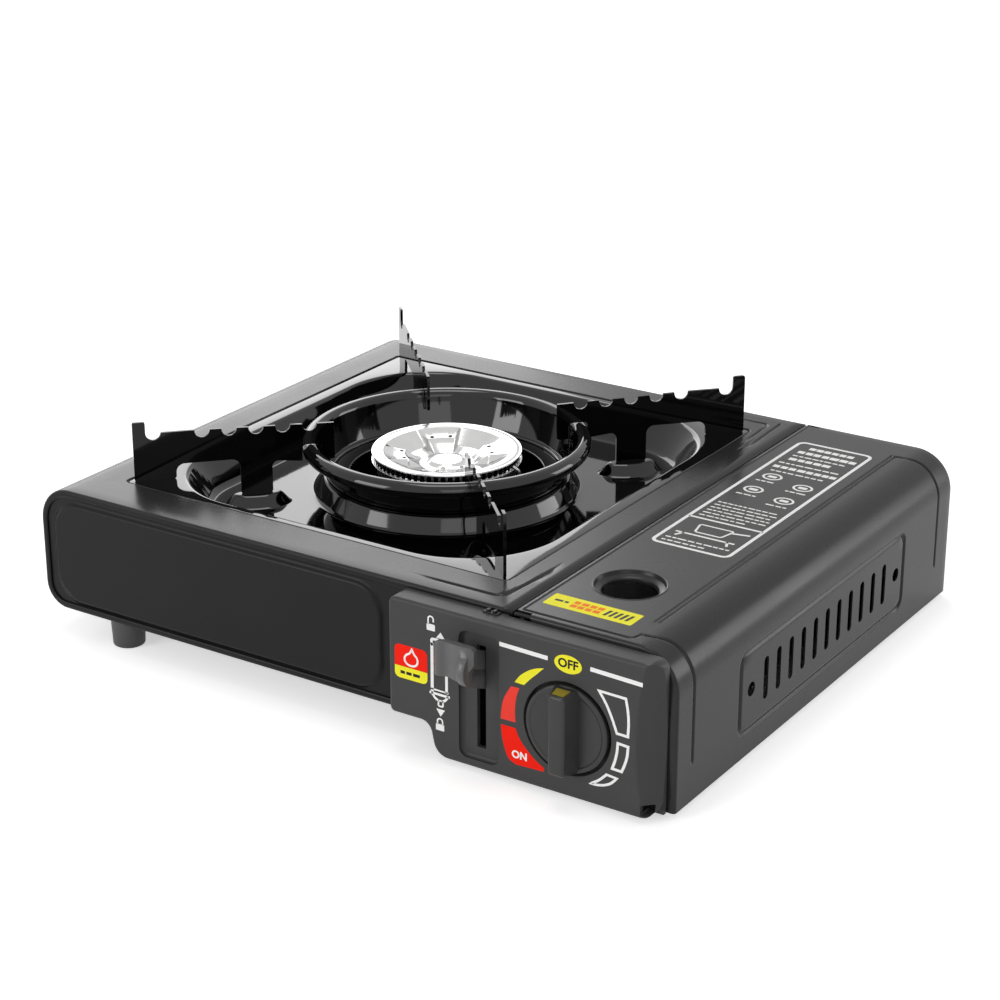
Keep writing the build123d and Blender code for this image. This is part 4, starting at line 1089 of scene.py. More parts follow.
    def build_feet(self) -> None:
        """Build the tall tapered feet and the low pads."""
        tall = [(0, self.bottom, 0), (8.1, self.bottom, 0), (7.5, 0, 0.9), (5.2, 0, 0.6),
                (4.6, 1.6, 0.5), (0, 1.6, 0)]
        low = [(0, 2.5, 0), (7.0, 2.5, 0.3), (6.8, 0, 0.7), (0, 0, 0)]
        for end, side in (("front", -1), ("rear", 1)):
            self.build_foot(tall, Vector((-128.0, side * 125.0, 0)), 48, f"foot_{end}",
                            f"tall_foot_{end}")
            self.build_foot(low, Vector((150.0, side * 120.0, 0)), 40, f"pad_{end}",
                            f"short_foot_{end}")

    def build(self) -> None:
        """Build the whole cooking side."""
        self.build_shell()
        self.build_plate("front_plate", PLATE_FRONT, -1.0)
        self.build_plate("rear_plate", PLATE_REAR, 1.0)
        self.build_feet()


@dataclass
class Lid:
    """Cartridge cover with its pressed lines, vents, viewing hole and print.

    A row of the print is its height on the lid, its two ends and the height of its blocks.
    """

    seam: float = 92.5
    right: float = 170.0
    radius: float = 18.6
    bottom: float = 2.6
    half_depth: float = 134.3
    lip: float = 5.5
    window: Point = (118.5, -84.4)
    front_groove: tuple[Point, ...] = ((95.0, -130.1), (144.8, -130.1), (146.4, -128.8),
                                       (147.2, -125.6))
    twin_grooves: Point = (145.9, 147.9)
    seam_bead: float = 94.0
    side_grooves: tuple[Point, ...] = ((-120.7, 4.0), (119.0, 3.0))
    vent_y: float = 1.7
    vent_z: float = 32.9
    vent_pitch: float = 11.7
    vent_count: int = 11
    vent_half: Point = (2.1, 10.0)
    vent_frame: Point = (82.3, 20.2)
    round_hole: float = 3.25
    round_hole_y: float = 71.8
    hinge_y: float = 132.55
    ear: tuple[float, float, float] = (96.5, 70.5, 4.4)
    rows: tuple[tuple[float, float, float, float], ...] = (
        (103.0, 109.0, 131.0, 3.0), (96.5, 106.0, 136.0, 3.2), (91.0, 106.0, 134.0, 1.2),
        (86.0, 106.5, 128.0, 3.0), (79.5, 104.5, 136.0, 1.3), (73.8, 104.5, 136.0, 3.0),
        (68.0, 106.0, 133.0, 1.2), (53.0, 106.0, 116.0, 1.1), (47.5, 124.0, 135.0, 1.1),
        (33.5, 106.0, 116.0, 1.1), (28.0, 124.0, 135.0, 1.1), (19.0, 104.5, 136.0, 1.0),
        (15.4, 104.5, 136.0, 1.0), (11.8, 104.5, 136.0, 1.0), (8.2, 104.5, 136.0, 1.0),
        (4.6, 104.5, 136.0, 1.0), (1.0, 104.5, 128.0, 1.0), (-29.5, 104.5, 136.0, 1.1),
        (-33.2, 104.5, 126.0, 1.1))
    signs: tuple[Point, ...] = ((111.0, 60.0), (129.5, 54.5), (111.0, 41.0), (129.5, 35.5))

    def relief(self, x: float, y: float, z: float) -> float:
        """Shape the lines on the top, the grooves over the side and the frame round the vents.

        Args:
            x: Place on the sheet.
            y: Its depth.
            z: Its height.

        Returns:
            How far the sheet rises there.
        """
        rise = 0.0
        on_upper_half, on_top = z > 60, z > 73.0
        if on_upper_half:
            along = ramp(y, -112.5, -110.5) * (1 - ramp(y, 115.0, 117.0))
            rise -= 0.75 * along * sum(ridge(x - groove, 0.75) for groove in self.twin_grooves)
        if on_top:
            rise -= 0.6 * ridge(line_distance(x, y, self.front_groove), 0.8)
            if abs(y) < 129.5:
                rise += 0.35 * ridge(x - self.seam_bead, 0.9)
        turn = math.degrees(math.atan2(z - (BODY_TOP - self.radius),
                                       x - (self.right - self.radius)))
        groove_end = 146.0
        if x > groove_end:
            low = ramp(z, 19.5, 21.5) if z < 50 else 1.0
            high = 1.0 if z < 72.0 else ramp(x, groove_end, groove_end + 3.0)
            for groove_y, lean in self.side_grooves:
                bow = lean * ramp(turn, 50.0, 100.0) if z > 50 else 0.0
                rise -= 0.95 * low * high * ridge(y - (groove_y - bow), 1.2)
        on_side = z < 56 and x > 165
        if on_side:
            inset = box_distance(y - 0.7, z - 32.8, *self.vent_frame, 7.0)
            rise -= ramp(-inset, 0.0, 1.1) - ramp(-inset, 1.3, 3.6)
        return rise

    def build_cover(self) -> None:
        """Build the folded cover with its openings."""
        arc_x = self.right - self.radius
        arc_z = BODY_TOP - self.radius
        y_marks = ticks(-132.9, 132.9, 4.0, [-130.1, -124.5, -120.7, -111.5, 116.0, 119.0,
                                             -79.8, 81.2], 2.2, 0.4)
        sheet = FoldedSheet(relief=self.relief, half_depth=self.half_depth, lip=self.lip,
                            depth_ticks=y_marks)
        sheet.run(ticks(self.seam, arc_x, 5.0, [self.seam_bead, *self.twin_grooves], 1.2, 0.2),
                  BODY_TOP, (0.0, 1.0))
        sheet.bend((arc_x, arc_z), self.radius, 90, 0, 20)
        z_marks = ticks(self.bottom, arc_z, 3.0, [20.5, 51.2, 14.4], 2.2, 0.4)
        sheet.run(z_marks[::-1], self.right, (1.0, 0.0))
        bm = sheet.shape()
        made = piece(bm, "lid_pressing", BODY_PAINT)
        thicken(made, SHEET)
        bake(made)
        cut(made, self.openings())
        bm = bmesh.new()
        bm.from_mesh(made.data)
        for side in (-1, 1):
            self.add_ear(bm, side)
        self.add_collar(bm)
        bm.to_mesh(made.data)
        bm.free()
        shade(made.data, 40.0)
        register(made, "lid", "body_paint", "lid")

    def openings(self) -> bmesh.types.BMesh:
        """Make the cutter for the vents, the round holes, the viewing hole and the hinge slots.

        Returns:
            The cutter's mesh.
        """
        tool = bmesh.new()
        origin = X_AXIS * (self.right - 4)
        half_y, half_z = self.vent_half
        for i in range(self.vent_count):
            y = self.vent_y + (i - (self.vent_count - 1) / 2) * self.vent_pitch
            corners = box_corners(y - half_y, self.vent_z - half_z, y + half_y,
                                  self.vent_z + half_z, half_y - 0.01)
            slab(tool, rounded(corners, 6), origin, Y_AXIS, Z_AXIS, 8)
        for side in (-1, 1):
            y = self.vent_y + side * self.round_hole_y
            rod(tool, Vector((self.right, y, self.vent_z)), self.round_hole, 8, 32, "Y")
            y = side * self.hinge_y
            bar(tool, (91.5, y - 0.95, 71.5), (100.0, y + 0.95, 75.0))
        rod(tool, Vector((*self.window, BODY_TOP)), 15.9, 6, 64)
        return tool

    def add_ear(self, bm: bmesh.types.BMesh, side: int) -> None:
        """Add a hinge ear to the lip at one end.

        Args:
            bm: The lid's mesh.
            side: -1 for the front, +1 for the rear.
        """
        x, z, radius = self.ear
        top = 73.0
        points = [(max(x + radius * math.cos(a), self.seam), min(z + radius * math.sin(a), top))
                  for a in (math.tau * i / 32 for i in range(32))]
        slab(bm, points, Y_AXIS * (side * self.half_depth), X_AXIS, Z_AXIS, side * SHEET)

    def add_collar(self, bm: bmesh.types.BMesh) -> None:
        """Add the rolled rim and funnel of the viewing hole.

        Args:
            bm: The lid's mesh.
        """
        profile = rounded([(16.4, -0.35, 0), (16.4, 0.03, 0.15), (15.9, 0.28, 0.25),
                           (15.4, 0.1, 0.3), (14.9, -1.5, 0.5), (13.2, -2.0, 0.5),
                           (12.3, -2.5, 0.3), (11.9, -4.2, 0.2), (12.6, -4.2, 0.2),
                           (13.0, -2.9, 0.3), (15.2, -2.4, 0.4), (15.7, -0.4, 0.2)], 3)
        collar = bmesh.new()
        turned(collar, profile, Vector((*self.window, BODY_TOP)), Z_AXIS, 64, closed=True)
        merge_into(bm, collar)

    def build_print(self) -> None:
        """Print the framed field of plain rules and signs, and the striped band at the front."""
        white = Print(Z_AXIS * BODY_TOP, X_AXIS, Y_AXIS)
        white.line(rounded(box_corners(101.3, -37.0, 139.0, 109.3, 3.4), 6), 1.7)
        white.stroke([(102.2, -3.0), (138.1, -3.0)], 1.4)
        chance = random.Random(7)
        for row in self.rows:
            self.dashes(white, *row, chance)
        for x, y in self.signs:
            white.line(oval(x, y, 4.4, 3.6, 24), 1.1)
            white.box(x - 2.2, y - 1.2, x + 2.2, y + 1.2, 0.5)
        pot = [(111.0, -9.5, 1.0), (113.0, -18.5, 1.5), (126.0, -18.5, 1.5), (128.0, -9.5, 1.0)]
        white.line(rounded(pot, 4), 1.0)
        white.stroke([(128.6, -11.5), (135.5, -10.0)], 1.3)
        white.stroke([(106.0, -22.0), (134.0, -22.0)], 1.3)
        for x in (109.0, 131.0):
            white.stroke([(x, -22.0), (x + (x - 120.0) * 0.15, -25.6)], 1.2)
        white.finish("lid_print_white", WHITE_INK, "lid", "body_paint")
        yellow = Print(Z_AXIS * BODY_TOP, X_AXIS, Y_AXIS)
        yellow.box(97.2, -120.2, 139.4, -108.7, 0.8)
        yellow.finish("lid_print_yellow", YELLOW_INK, "lid", "body_paint")
        over_yellow = Z_AXIS * (BODY_TOP + 0.04)
        orange = Print(over_yellow, X_AXIS, Y_AXIS)
        self.dashes(orange, -116.2, 108.5, 122.5, 2.6, chance)
        self.dashes(orange, -112.6, 108.5, 124.0, 2.6, chance)
        orange.finish("lid_print_orange", ORANGE_INK, "lid", "body_paint")
        dark = Print(over_yellow, X_AXIS, Y_AXIS)
        self.dashes(dark, -114.4, 100.0, 106.5, 1.6, chance)
        for i in range(5):
            x = 125.0 + 2.6 * i
            dark.shape([(x - 0.7, -117.3), (x + 0.7, -117.3), (x + 1.5, -111.7),
                        (x + 0.1, -111.7)])
        dark.finish("lid_print_dark", BLACK_INK, "lid", "body_paint")

    @staticmethod
    def dashes(drawn: Print, y: float, x0: float, x1: float, height: float,
               chance: random.Random) -> None:
        """Print a row of plain blocks of uneven length.

        Args:
            drawn: Print that they belong to.
            y: Middle of the row.
            x0: Its start.
            x1: Its end.
            height: Height of the blocks.
            chance: Seeded source of their lengths.
        """
        while x0 < x1 - 1.0:
            end = max(min(x0 + chance.uniform(1.6, 4.6), x1), x0 + height + 0.3)
            drawn.stroke([(x0 + height / 2, y), (end - height / 2, y)], height)
            x0 = end + chance.uniform(0.5, 0.9)

    def build(self) -> None:
        """Build the lid and its print."""
        self.build_cover()
        self.build_print()


# ---- tray, ring, burner -----------------------------------------------------------------------
@dataclass
class Tray:
    """Enamelled drip tray with its dish, collar and bosses."""

    half: Point = (105.5, 110.05)
    corner: float = 2.6
    dish: Point = (98.0, 105.0)
    dish_radius: float = 47.0
    top: float = 73.3
    floor: float = 57.5
    collar_top: float = 66.2
    boss_top: float = 62.8
    boss_distance: float = 91.5
    boss_angles: tuple[float, ...] = (46.215, 133.785, 226.215, 313.785)
    boss_foot: Point = (7.2, 10.4)

    @staticmethod
    def ray(angle: float, half_x: float, half_y: float, radius: float) -> float:
        """Measure from the middle of a rounded rectangle to its edge.

        Args:
            angle: Direction, in radians.
            half_x: Half the rectangle's width.
            half_y: Half its height.
            radius: Radius of its corners.

        Returns:
            The distance along that direction.
        """
        low, high = 0.0, 400.0
        for _ in range(40):
            middle = (low + high) / 2
            if box_distance(middle * math.cos(angle), middle * math.sin(angle), half_x, half_y,
                            radius) < 0:
                low = middle
            else:
                high = middle
        return low

    def rays(self) -> list[float]:
        """Choose the directions of the tray's divisions, closer together at its four corners.

        Returns:
            Rising angles in radians, round the full circle.
        """
        corner = math.degrees(math.atan2(self.half[1], self.half[0]))
        marks = {i * 1.25 for i in range(288)}
        for middle in (corner, 180 - corner, 180 + corner, 360 - corner):
            marks = {m for m in marks if abs(m - middle) > 1.3}
            marks |= {middle + i * 0.16 for i in range(-8, 9)}
        ordered = sorted(marks)
        return [math.radians(m) for m in ordered] + [math.radians(ordered[0] + 360)]

    def rings(self, angle: float) -> list[Point]:
        """Draw the tray's section along one direction.

        Args:
            angle: The direction, in radians.

        Returns:
            Distance from the middle and height of each ring.
        """
        inner_end = 68.0
        spots = rounded([(46.5, 64.4, 0), (46.5, self.collar_top, 0.7),
                         (59.0, self.collar_top, 2.4), (63.3, self.floor, 3.0),
                         (inner_end, self.floor, 0)], 6, closed=False)
        wall = rounded([(20.0, self.floor, 0), (9.9, self.floor, 5.5), (0.0, self.top, 3.2),
                        (-4.0, self.top, 0)], 7, closed=False)

        def reach(half: Point, radius: float, inset: float) -> float:
            """Distance to a rounded rectangle that is drawn in by an inset."""
            return self.ray(angle, half[0] - inset, half[1] - inset, radius - inset)

        start = reach(self.dish, self.dish_radius, 20)
        for share in (0.25, 0.5, 0.75):
            spots.append((inner_end + (start - inner_end) * share, self.floor))
        spots += [(reach(self.dish, self.dish_radius, inset), height) for inset, height in wall]
        rim = ((0.7, 0.0), (0.3, 0.05), (0.06, 0.25), (0.0, 0.5))
        spots += [(reach(self.half, self.corner, inset), self.top - fall) for inset, fall in rim]
        return spots

    def build(self) -> None:
        """Build the tray's sheet and its bosses as one piece."""
        angles = self.rays()
        columns = [self.rings(angle) for angle in angles]
        bm = bmesh.new()

        def place(column: int, row: int) -> Vector:
            """Point of the tray in a direction and on a ring."""
            reach, height = columns[column][row]
            angle = angles[column]
            return BURNER + Vector((reach * math.cos(angle), reach * math.sin(angle), height))

        lattice(bm, len(angles) - 1, len(columns[0]) - 1, place)
        face_outwards(bm, lambda spot: Z_AXIS)
        made = piece(bm, "enamel_tray", TRAY_ENAMEL)
        thicken(made, SHEET)
        bake(made)
        bm = bmesh.new()
        bm.from_mesh(made.data)
        for angle in self.boss_angles:
            self.add_boss(bm, math.radians(angle))
        bm.to_mesh(made.data)
        bm.free()
        shade(made.data, 50.0)
        register(made, "pan_support", "enamel", "drip_tray")

    def add_boss(self, bm: bmesh.types.BMesh, angle: float) -> None:
        """Add the oval boss that carries one blade's leg.

        Args:
            bm: The tray's mesh.
            angle: Direction of the boss from the burner, in radians.
        """
        turn = Matrix.Rotation(angle, 3, "Z")
        count, rows = 64, 20
        base = self.floor - 0.35
        crest, foot = self.boss_foot
        rising_share = 0.72

        def place(column: int, row: int) -> Vector:
            """Find a point of the boss.

            Args:
                column: Division round it.
                row: Division from its foot to its crest.

            Returns:
                The point, in millimetres.
            """
            width = foot * (1 - row / rows)
            rise = 0.5 - 0.5 * math.cos(math.pi * min(row / rows / rising_share, 1.0))
            around = math.tau * (column % count) / count
            spot = Vector(((crest + width) * math.cos(around), width * math.sin(around),
                           base + (self.boss_top - base) * rise))
            return BURNER + turn @ (spot + X_AXIS * self.boss_distance)

        part = bmesh.new()
        lattice(part, count, rows, place)
        bmesh.ops.dissolve_degenerate(part, edges=part.edges[:], dist=MERGE)
        face_outwards(part, lambda spot: Z_AXIS)
        merge_into(bm, part)


@dataclass
class Windshield:
    """Conical ring round the burner, with a rolled rim."""

    rim: float = 65.4
    rim_z: float = 80.85
    tube: float = 3.5
    foot: float = 57.4
    foot_z: float = 66.6
    flange: float = 54.0

    def build(self) -> None:
        """Build the ring by spinning its line and giving it thickness."""
        line = rounded([(self.flange, self.foot_z, 0), (self.foot, self.foot_z, 1.4),
                        (self.rim - self.tube, self.rim_z, 0)], 4, closed=False)[:-1]
        for i in range(29):
            angle = math.radians(180 - 11 * i)
            line.append((self.rim + self.tube * math.cos(angle),
                         self.rim_z + self.tube * math.sin(angle)))
        bm = bmesh.new()
        turned(bm, line, BURNER, Z_AXIS, 180)
        made = piece(bm, "rolled_ring", TRAY_ENAMEL, 60)
        thicken(made, SHEET, 0.0)
        register(made, "pan_support", "enamel", "windshield_ring")


@dataclass
class Burner:
    """Plated burner cap with its slotted skirt, over the cast bowl."""

    radius: float = 36.1
    top: float = 77.1
    bottom: float = 72.1
    skirt: float = 34.9
    slots: int = 66
    slot_depth: float = 2.4
    slot_share: float = 0.66
    first_pad: float = 41.6
    pad_drop: float = 1.9
    bore_distance: float = 21.5
    bore_radius: float = 1.15

    def pad_angle(self, spot: Vector) -> float:
        """Angle in degrees from the nearest of the four raised pads."""
        angle = math.degrees(math.atan2(spot.y, spot.x)) - self.first_pad
        return (angle + 45.0) % 90.0 - 45.0

    def section(self) -> list[Point]:
        """Draw the cap's section: middle boss, dish, rim and the skirt between its two lips.

        Returns:
            Radius and height of each point.
        """
        top, bottom = self.top, self.bottom
        return rounded([(0.0, top - 5.2, 0), (7.4, top - 5.4, 0.8), (9.6, top - 6.9, 0.8),
                        (13.0, top - 7.1, 1.5), (20.5, top - 6.0, 2.5), (30.2, top - 0.5, 1.6),
                        (33.4, top, 0.8), (self.radius, top - 0.4, 0.3),
                        (self.radius, top - 0.9, 0.2), (self.skirt, top - 1.0, 0.1),
                        (self.skirt, top - 1.2, 0), (self.skirt, bottom + 0.8, 0),
                        (self.skirt, bottom + 0.6, 0.1), (self.radius, bottom + 0.5, 0.2),
                        (self.radius, bottom, 0), (31.6, bottom, 0)], 5, closed=False)

    def build(self) -> None:
        """Build the dished cap, its pads, its flame slots and its drilled holes."""
        bm = bmesh.new()
        turned(bm, self.section(), BURNER, Z_AXIS, self.slots * 6)
        inside = Vector((*BURNER.xy, 72.0)) * MM
        face_outwards(bm, lambda spot: spot - inside)
        self.raise_pads(bm)
        self.press_slots(bm)
        made = piece(bm, "burner_cap_plated", BURNER_PLATE, 35)
        # Painted shade: the second material, dull black, goes on the faces of the flame slots.
        made.data.materials.append(SHADE_BLACK.material())
        thicken(made, SHEET)
        bake(made)
        cut(made, self.pad_bores(self.bore_radius, self.top - self.pad_drop, 3.0))
        register(made, "base", "polished_steel", "burner_cap")
        # Painted shade: a black disc under each bore stands in for the shade below the cap.
        bore_shade = self.pad_bores(1.6, self.top - self.pad_drop - 1.0, 0.3)
        register(piece(bore_shade, "burner_bore_painted_shade", SHADE_BLACK), "base", "black_steel")

    def raise_pads(self, bm: bmesh.types.BMesh) -> None:
        """Raise four flat pads out of the dish.

        Args:
            bm: The cap's mesh.
        """
        centre = BURNER.xy * MM
        level = (self.top - self.pad_drop) * MM
        for vert in bm.verts:
            spot = vert.co.xy - centre
            reach = spot.length / MM
            if reach < 31.0:
                aside = math.radians(abs(self.pad_angle(spot))) * reach
                across = 1.0 - ramp(aside, 6.6, 8.0)
                along = ramp(reach, 13.0, 15.2) * (1.0 - ramp(reach, 27.0, 30.0))
                vert.co.z += max(level - vert.co.z, 0.0) * across * along

    def pad_bores(self, radius: float, height: float, depth: float) -> bmesh.types.BMesh:
        """Make short upright cylinders at the two bores of each pad.

        Args:
            radius: Their radius.
            height: Height of their middles.
            depth: Their length.

        Returns:
            Their mesh, for cutting the bores or for the black discs of painted shade under them.
        """
        bores = bmesh.new()
        for quarter in range(4):
            for shift in (-12.0, 12.0):
                angle = math.radians(self.first_pad + 90.0 * quarter + shift)
                spot = Vector((self.bore_distance * math.cos(angle),
                               self.bore_distance * math.sin(angle), height)) + BURNER
                rod(bores, spot, radius, depth, 20)
        return bores

    def press_slots(self, bm: bmesh.types.BMesh) -> None:
        """Push the flame slots into the skirt, their faces dull black as painted shade.

        Args:
            bm: The cap's mesh.
        """
        centre = BURNER * MM
        pitch = 360 / self.slots
        chosen = []
        for face in bm.faces:
            middle = (face.calc_center_median() - centre) / MM
            on_skirt = abs(middle.xy.length - self.skirt) < 0.1
            if on_skirt and self.bottom + 0.8 < middle.z < self.top - 1.2:
                angle = math.degrees(math.atan2(middle.y, middle.x))
                if angle % pitch / pitch < self.slot_share:
                    chosen.append(face)
        grown = bmesh.ops.extrude_face_region(bm, geom=chosen)["geom"]
        for item in grown:
            # Painted shade: the slots' pushed-in faces take the dull black.
            if isinstance(item, bmesh.types.BMFace):
                item.material_index = 1
            if isinstance(item, bmesh.types.BMVert):
                out = (item.co - centre).xy.normalized() * self.slot_depth * MM
                item.co -= out.to_3d()
        doomed = [face for face in chosen if face.is_valid]
        bmesh.ops.delete(bm, geom=doomed, context="FACES_ONLY")


# ---- controls ---------------------------------------------------------------------------------
@dataclass
class Controls:
    """Panel, knob and lever, with the panel's print.

    The grip's sizes are half its width and half its height, at its foot and at its tip.
    """

    ink: float = 0.05
    over_ink: float = 0.04
    bold: float = 0.16
    dial: Point = (125.2, 62.6)
    card: tuple[float, float, float, float] = (39.5, 35.0, 56.2, 50.6)
    card_split: float = 40.5
    grip_foot: Point = (6.5, 19.0)
    grip_tip: Point = (3.9, 18.0)
    grip_height: float = 7.8
    lever_half: float = 1.8
    lever_tilt: float = -24.0
    pin_bore: float = 2.25
    pivot_bore: float = 2.15

    def panel_print(self, lift: float = 0.0) -> Print:
        """Start a print on the panel's face, or on ink that stands a lift above it."""
        return Print(Y_AXIS * (PANEL_FACE - lift), X_AXIS, Z_AXIS, self.ink)

    def print_text(self, words: str, name: str, finish: Finish, centre: Point,
                   size: float) -> None:
        """Print a short generic word on the panel.

        Args:
            words: ON or OFF.
            name: Name of the piece.
            finish: Ink.
            centre: Middle of the word in the front view.
            size: Height of the letters.
        """
        curve = bpy.data.curves.new(name, "FONT")
        curve.body = words
        letter_share = 1.4  # font size over the height of its capitals
        curve.size = size * letter_share * MM
        curve.align_x = "CENTER"
        curve.align_y = "CENTER"
        curve.extrude = self.ink / 2 * MM
        curve.offset = self.bold * MM
        curve.resolution_u = 3
        drawn = bpy.data.objects.new(name + "_curve", curve)
        bpy.context.scene.collection.objects.link(drawn)
        mesh = evaluated_mesh(drawn)
        bpy.data.objects.remove(drawn)
        spot = Vector((centre[0], PANEL_FACE - self.ink * 1.5, centre[1]))
        mesh.transform(Matrix.Translation(spot * MM) @ Matrix.Rotation(math.pi / 2, 4, "X"))
        mesh.name = name
        mesh.materials.clear()
        mesh.materials.append(finish.material())
        register(place_in_scene(name, mesh), "base", "panel_plastic")

    def print_white(self) -> None:
        """Print the panel's white rules, flow marks, cartridge outline and padlocks."""
        white = self.panel_print()
        white.stroke([(93.2, 63.4), (114.6, 62.9)], 1.9)
        white.stroke([(136.6, 63.3), (158.9, 62.6)], 1.9)
        white.line(patch([(139.9, 54.8), (152.3, 54.6)],
                         [(152.3, 54.6), (153.4, 49.1), (153.8, 43.4), (153.6, 38.0)],
                         [(153.6, 38.0), (148.5, 38.1)],
                         [(148.5, 38.1), (146.0, 44.4), (143.2, 50.0), (139.9, 54.8)]), 1.2)
        white.line(patch([(149.0, 33.8), (153.8, 33.5)],
                         [(153.8, 33.5), (153.4, 28.9), (152.3, 24.8), (151.0, 21.5)],
                         [(151.0, 21.5), (146.6, 21.7)],
                         [(146.6, 21.7), (147.9, 25.8), (148.7, 29.9), (149.0, 33.8)]), 1.2)
        white.line(patch([(144.0, 18.2), (148.8, 17.8)],
                         [(148.8, 17.8), (146.3, 15.0), (143.2, 13.2), (139.9, 12.3),
                          (136.6, 12.0)],
                         [(136.6, 12.0), (140.4, 14.6), (144.0, 18.2)]), 1.1)
        white.stroke([(58.6, 33.2), (58.7, 54.6)], 1.5)
        white.stroke(rounded([(58.7, 54.6, 0), (58.3, 57.0, 0.8), (62.4, 57.4, 0.8),
                              (62.8, 55.0, 0)], 4, closed=False), 1.2)
        white.stroke([(65.9, 41.2), (65.9, 34.0)], 1.3)
        white.stroke([(58.2, 34.0), (66.6, 33.9)], 0.7)
        white.stroke([(57.8, 32.2), (67.0, 32.1)], 1.1)
        white.stroke(curve_through([(58.6, 31.8), (60.0, 30.2), (61.4, 29.4)]), 1.1)
        white.stroke(curve_through([(66.4, 31.8), (65.2, 30.2), (64.0, 29.4)]), 1.1)
        white.line(rounded(box_corners(61.7, 26.8, 64.0, 29.4, 0.6), 3), 0.8)
        white.shape([(60.6, 25.4), (62.8, 22.1), (65.0, 25.4)])
        white.shape([(60.9, 58.2), (65.3, 58.2), (63.1, 61.0)])
        white.padlock(58.2, 62.9, opened=True)
        white.padlock(62.4, 17.6, opened=False)
        white.finish("panel_print_white", WHITE_INK, "base", "panel_plastic")

    def print_card(self) -> None:
        """Print the flame and the dashes on the card beside the cartridge outline."""
        flame = [(48.4, 49.4), (47.2, 47.4), (45.2, 46.0), (44.6, 43.9), (45.9, 42.2),
                 (48.0, 41.7), (50.2, 42.3), (51.3, 44.2), (50.8, 46.2), (49.7, 47.2),
                 (48.4, 49.4)]
        upper = self.panel_print(self.over_ink)
        upper.line(curve_through(flame)[:-1], 0.9)
        upper.finish("panel_card_white", WHITE_INK, "base", "panel_plastic")
        dark = self.panel_print(self.over_ink)
        Lid.dashes(dark, 37.8, 42.4, 53.6, 1.4, random.Random(3))
        dark.finish("panel_card_dark", BLACK_INK, "base", "panel_plastic")

    def print_colours(self) -> None:
        """Print the yellow and red patches of the dial and of the card."""
        left, low, right, top = self.card
        yellow = self.panel_print()
        yellow.shape(patch([(99.7, 48.0), (102.3, 51.6), (106.2, 54.8), (110.0, 56.8),
                            (113.8, 57.9)],
                           [(113.8, 57.9), (110.9, 54.9), (107.4, 51.4), (104.3, 47.9)],
                           [(104.3, 47.9), (99.7, 48.0)]))
        yellow.shape(oval(*self.dial, 6.5, 4.0, 48))
        yellow.shape(rounded([(left, self.card_split, 0), (left, low, 2.4), (right, low, 2.4),
                              (right, self.card_split, 0)], 5))
        yellow.finish("panel_print_yellow", YELLOW_INK, "base", "panel_plastic")
        red = self.panel_print()
        red.shape(joined([(93.0, 27.0), (100.2, 27.0)],
                         curve_through([(100.2, 27.0), (101.9, 23.2), (105.4, 19.0),
                                        (109.8, 15.1), (114.2, 12.5)]),
                         [(114.2, 12.5), (114.0, 10.8), (100.5, 10.3)],
                         curve_through([(100.5, 10.3), (97.0, 12.0), (94.9, 16.3),
                                        (93.6, 21.6), (93.0, 27.0)])))
        split = self.card_split + 0.1
        red.shape(rounded([(left, split, 0), (right, split, 0), (right, top, 2.4),
                           (left, top, 2.4)], 5))
        red.finish("panel_print_red", RED_INK, "base", "panel_plastic")
        pale = self.panel_print()
        pale.shape(patch([(97.9, 45.6), (102.0, 45.8)],
                         [(102.0, 45.8), (100.6, 41.4), (99.9, 35.4), (100.2, 29.7)],
                         [(100.2, 29.7), (92.9, 29.5)],
                         [(92.9, 29.5), (93.3, 34.0), (94.5, 39.4), (97.9, 45.6)]))
        pale.finish("panel_print_pale_red", PALE_RED_INK, "base", "panel_plastic")

    def build_print(self) -> None:
        """Print all of the panel's marks."""
        self.print_white()
        self.print_card()
        self.print_colours()
        self.print_text("OFF", "panel_print_off", BLACK_INK, self.dial, 3.9)
        self.print_text("ON", "panel_print_on", WHITE_INK, (102.2, 14.8), 3.4)

    def build_knob(self) -> None:
        """Build the knob: a shallow dished disc and the tapered grip with its pointer patch."""
        profile = rounded([(0, 0.35, 0), (16.9, 0.35, 0.5), (17.5, 0.02, 0.4), (19.5, 0.02, 1.1),
                           (19.5, 2.9, 0.3), (7.0, 2.9, 0), (7.0, 6.9, 0.3), (3.05, 6.9, 0)],
                          5, closed=False)
        bm = bmesh.new()
        turned(bm, profile, KNOB, Y_AXIS, 120)
        grip = bmesh.new()
        foot_x, foot_z = self.grip_foot
        tip_x, tip_z = self.grip_tip
        sunk = 0.5
        slab(grip, rounded(box_corners(-foot_x, -foot_z, foot_x, foot_z, 2.6), 5),
             KNOB + Y_AXIS * sunk, X_AXIS, Z_AXIS, self.grip_height + sunk)
        middle = KNOB * MM
        tops = [vert for vert in grip.verts if vert.co.y < middle.y - 1 * MM]
        for vert in tops:
            vert.co.x = middle.x + (vert.co.x - middle.x) * tip_x / foot_x
            vert.co.z = middle.z + (vert.co.z - middle.z) * tip_z / foot_z
        rim = [edge for edge in grip.edges if all(vert in tops for vert in edge.verts)]
        bmesh.ops.bevel(grip, geom=rim, offset=1.2 * MM, offset_type="OFFSET", segments=4,
                        profile=0.5, affect="EDGES", material=-1, clamp_overlap=True)
        merge_into(bm, grip)
        register(piece(bm, "moulded_knob", KNOB_ABS, 35), "knob", "knob_plastic", "gas_knob")
        low = KNOB + Vector((0, -1.6, foot_z - 0.2))
        high = KNOB + Vector((0, 1.3 - self.grip_height, tip_z + 0.18))
        pointer = Print(high, X_AXIS, (high - low).normalized(), -self.ink)
        depth = (low - high).length
        pointer.shape([(-2.7, 0.0), (2.7, 0.0), (3.3, -depth), (-3.3, -depth)])
        pointer.finish("knob_pointer", OCHRE_INK, "knob", "knob_plastic")

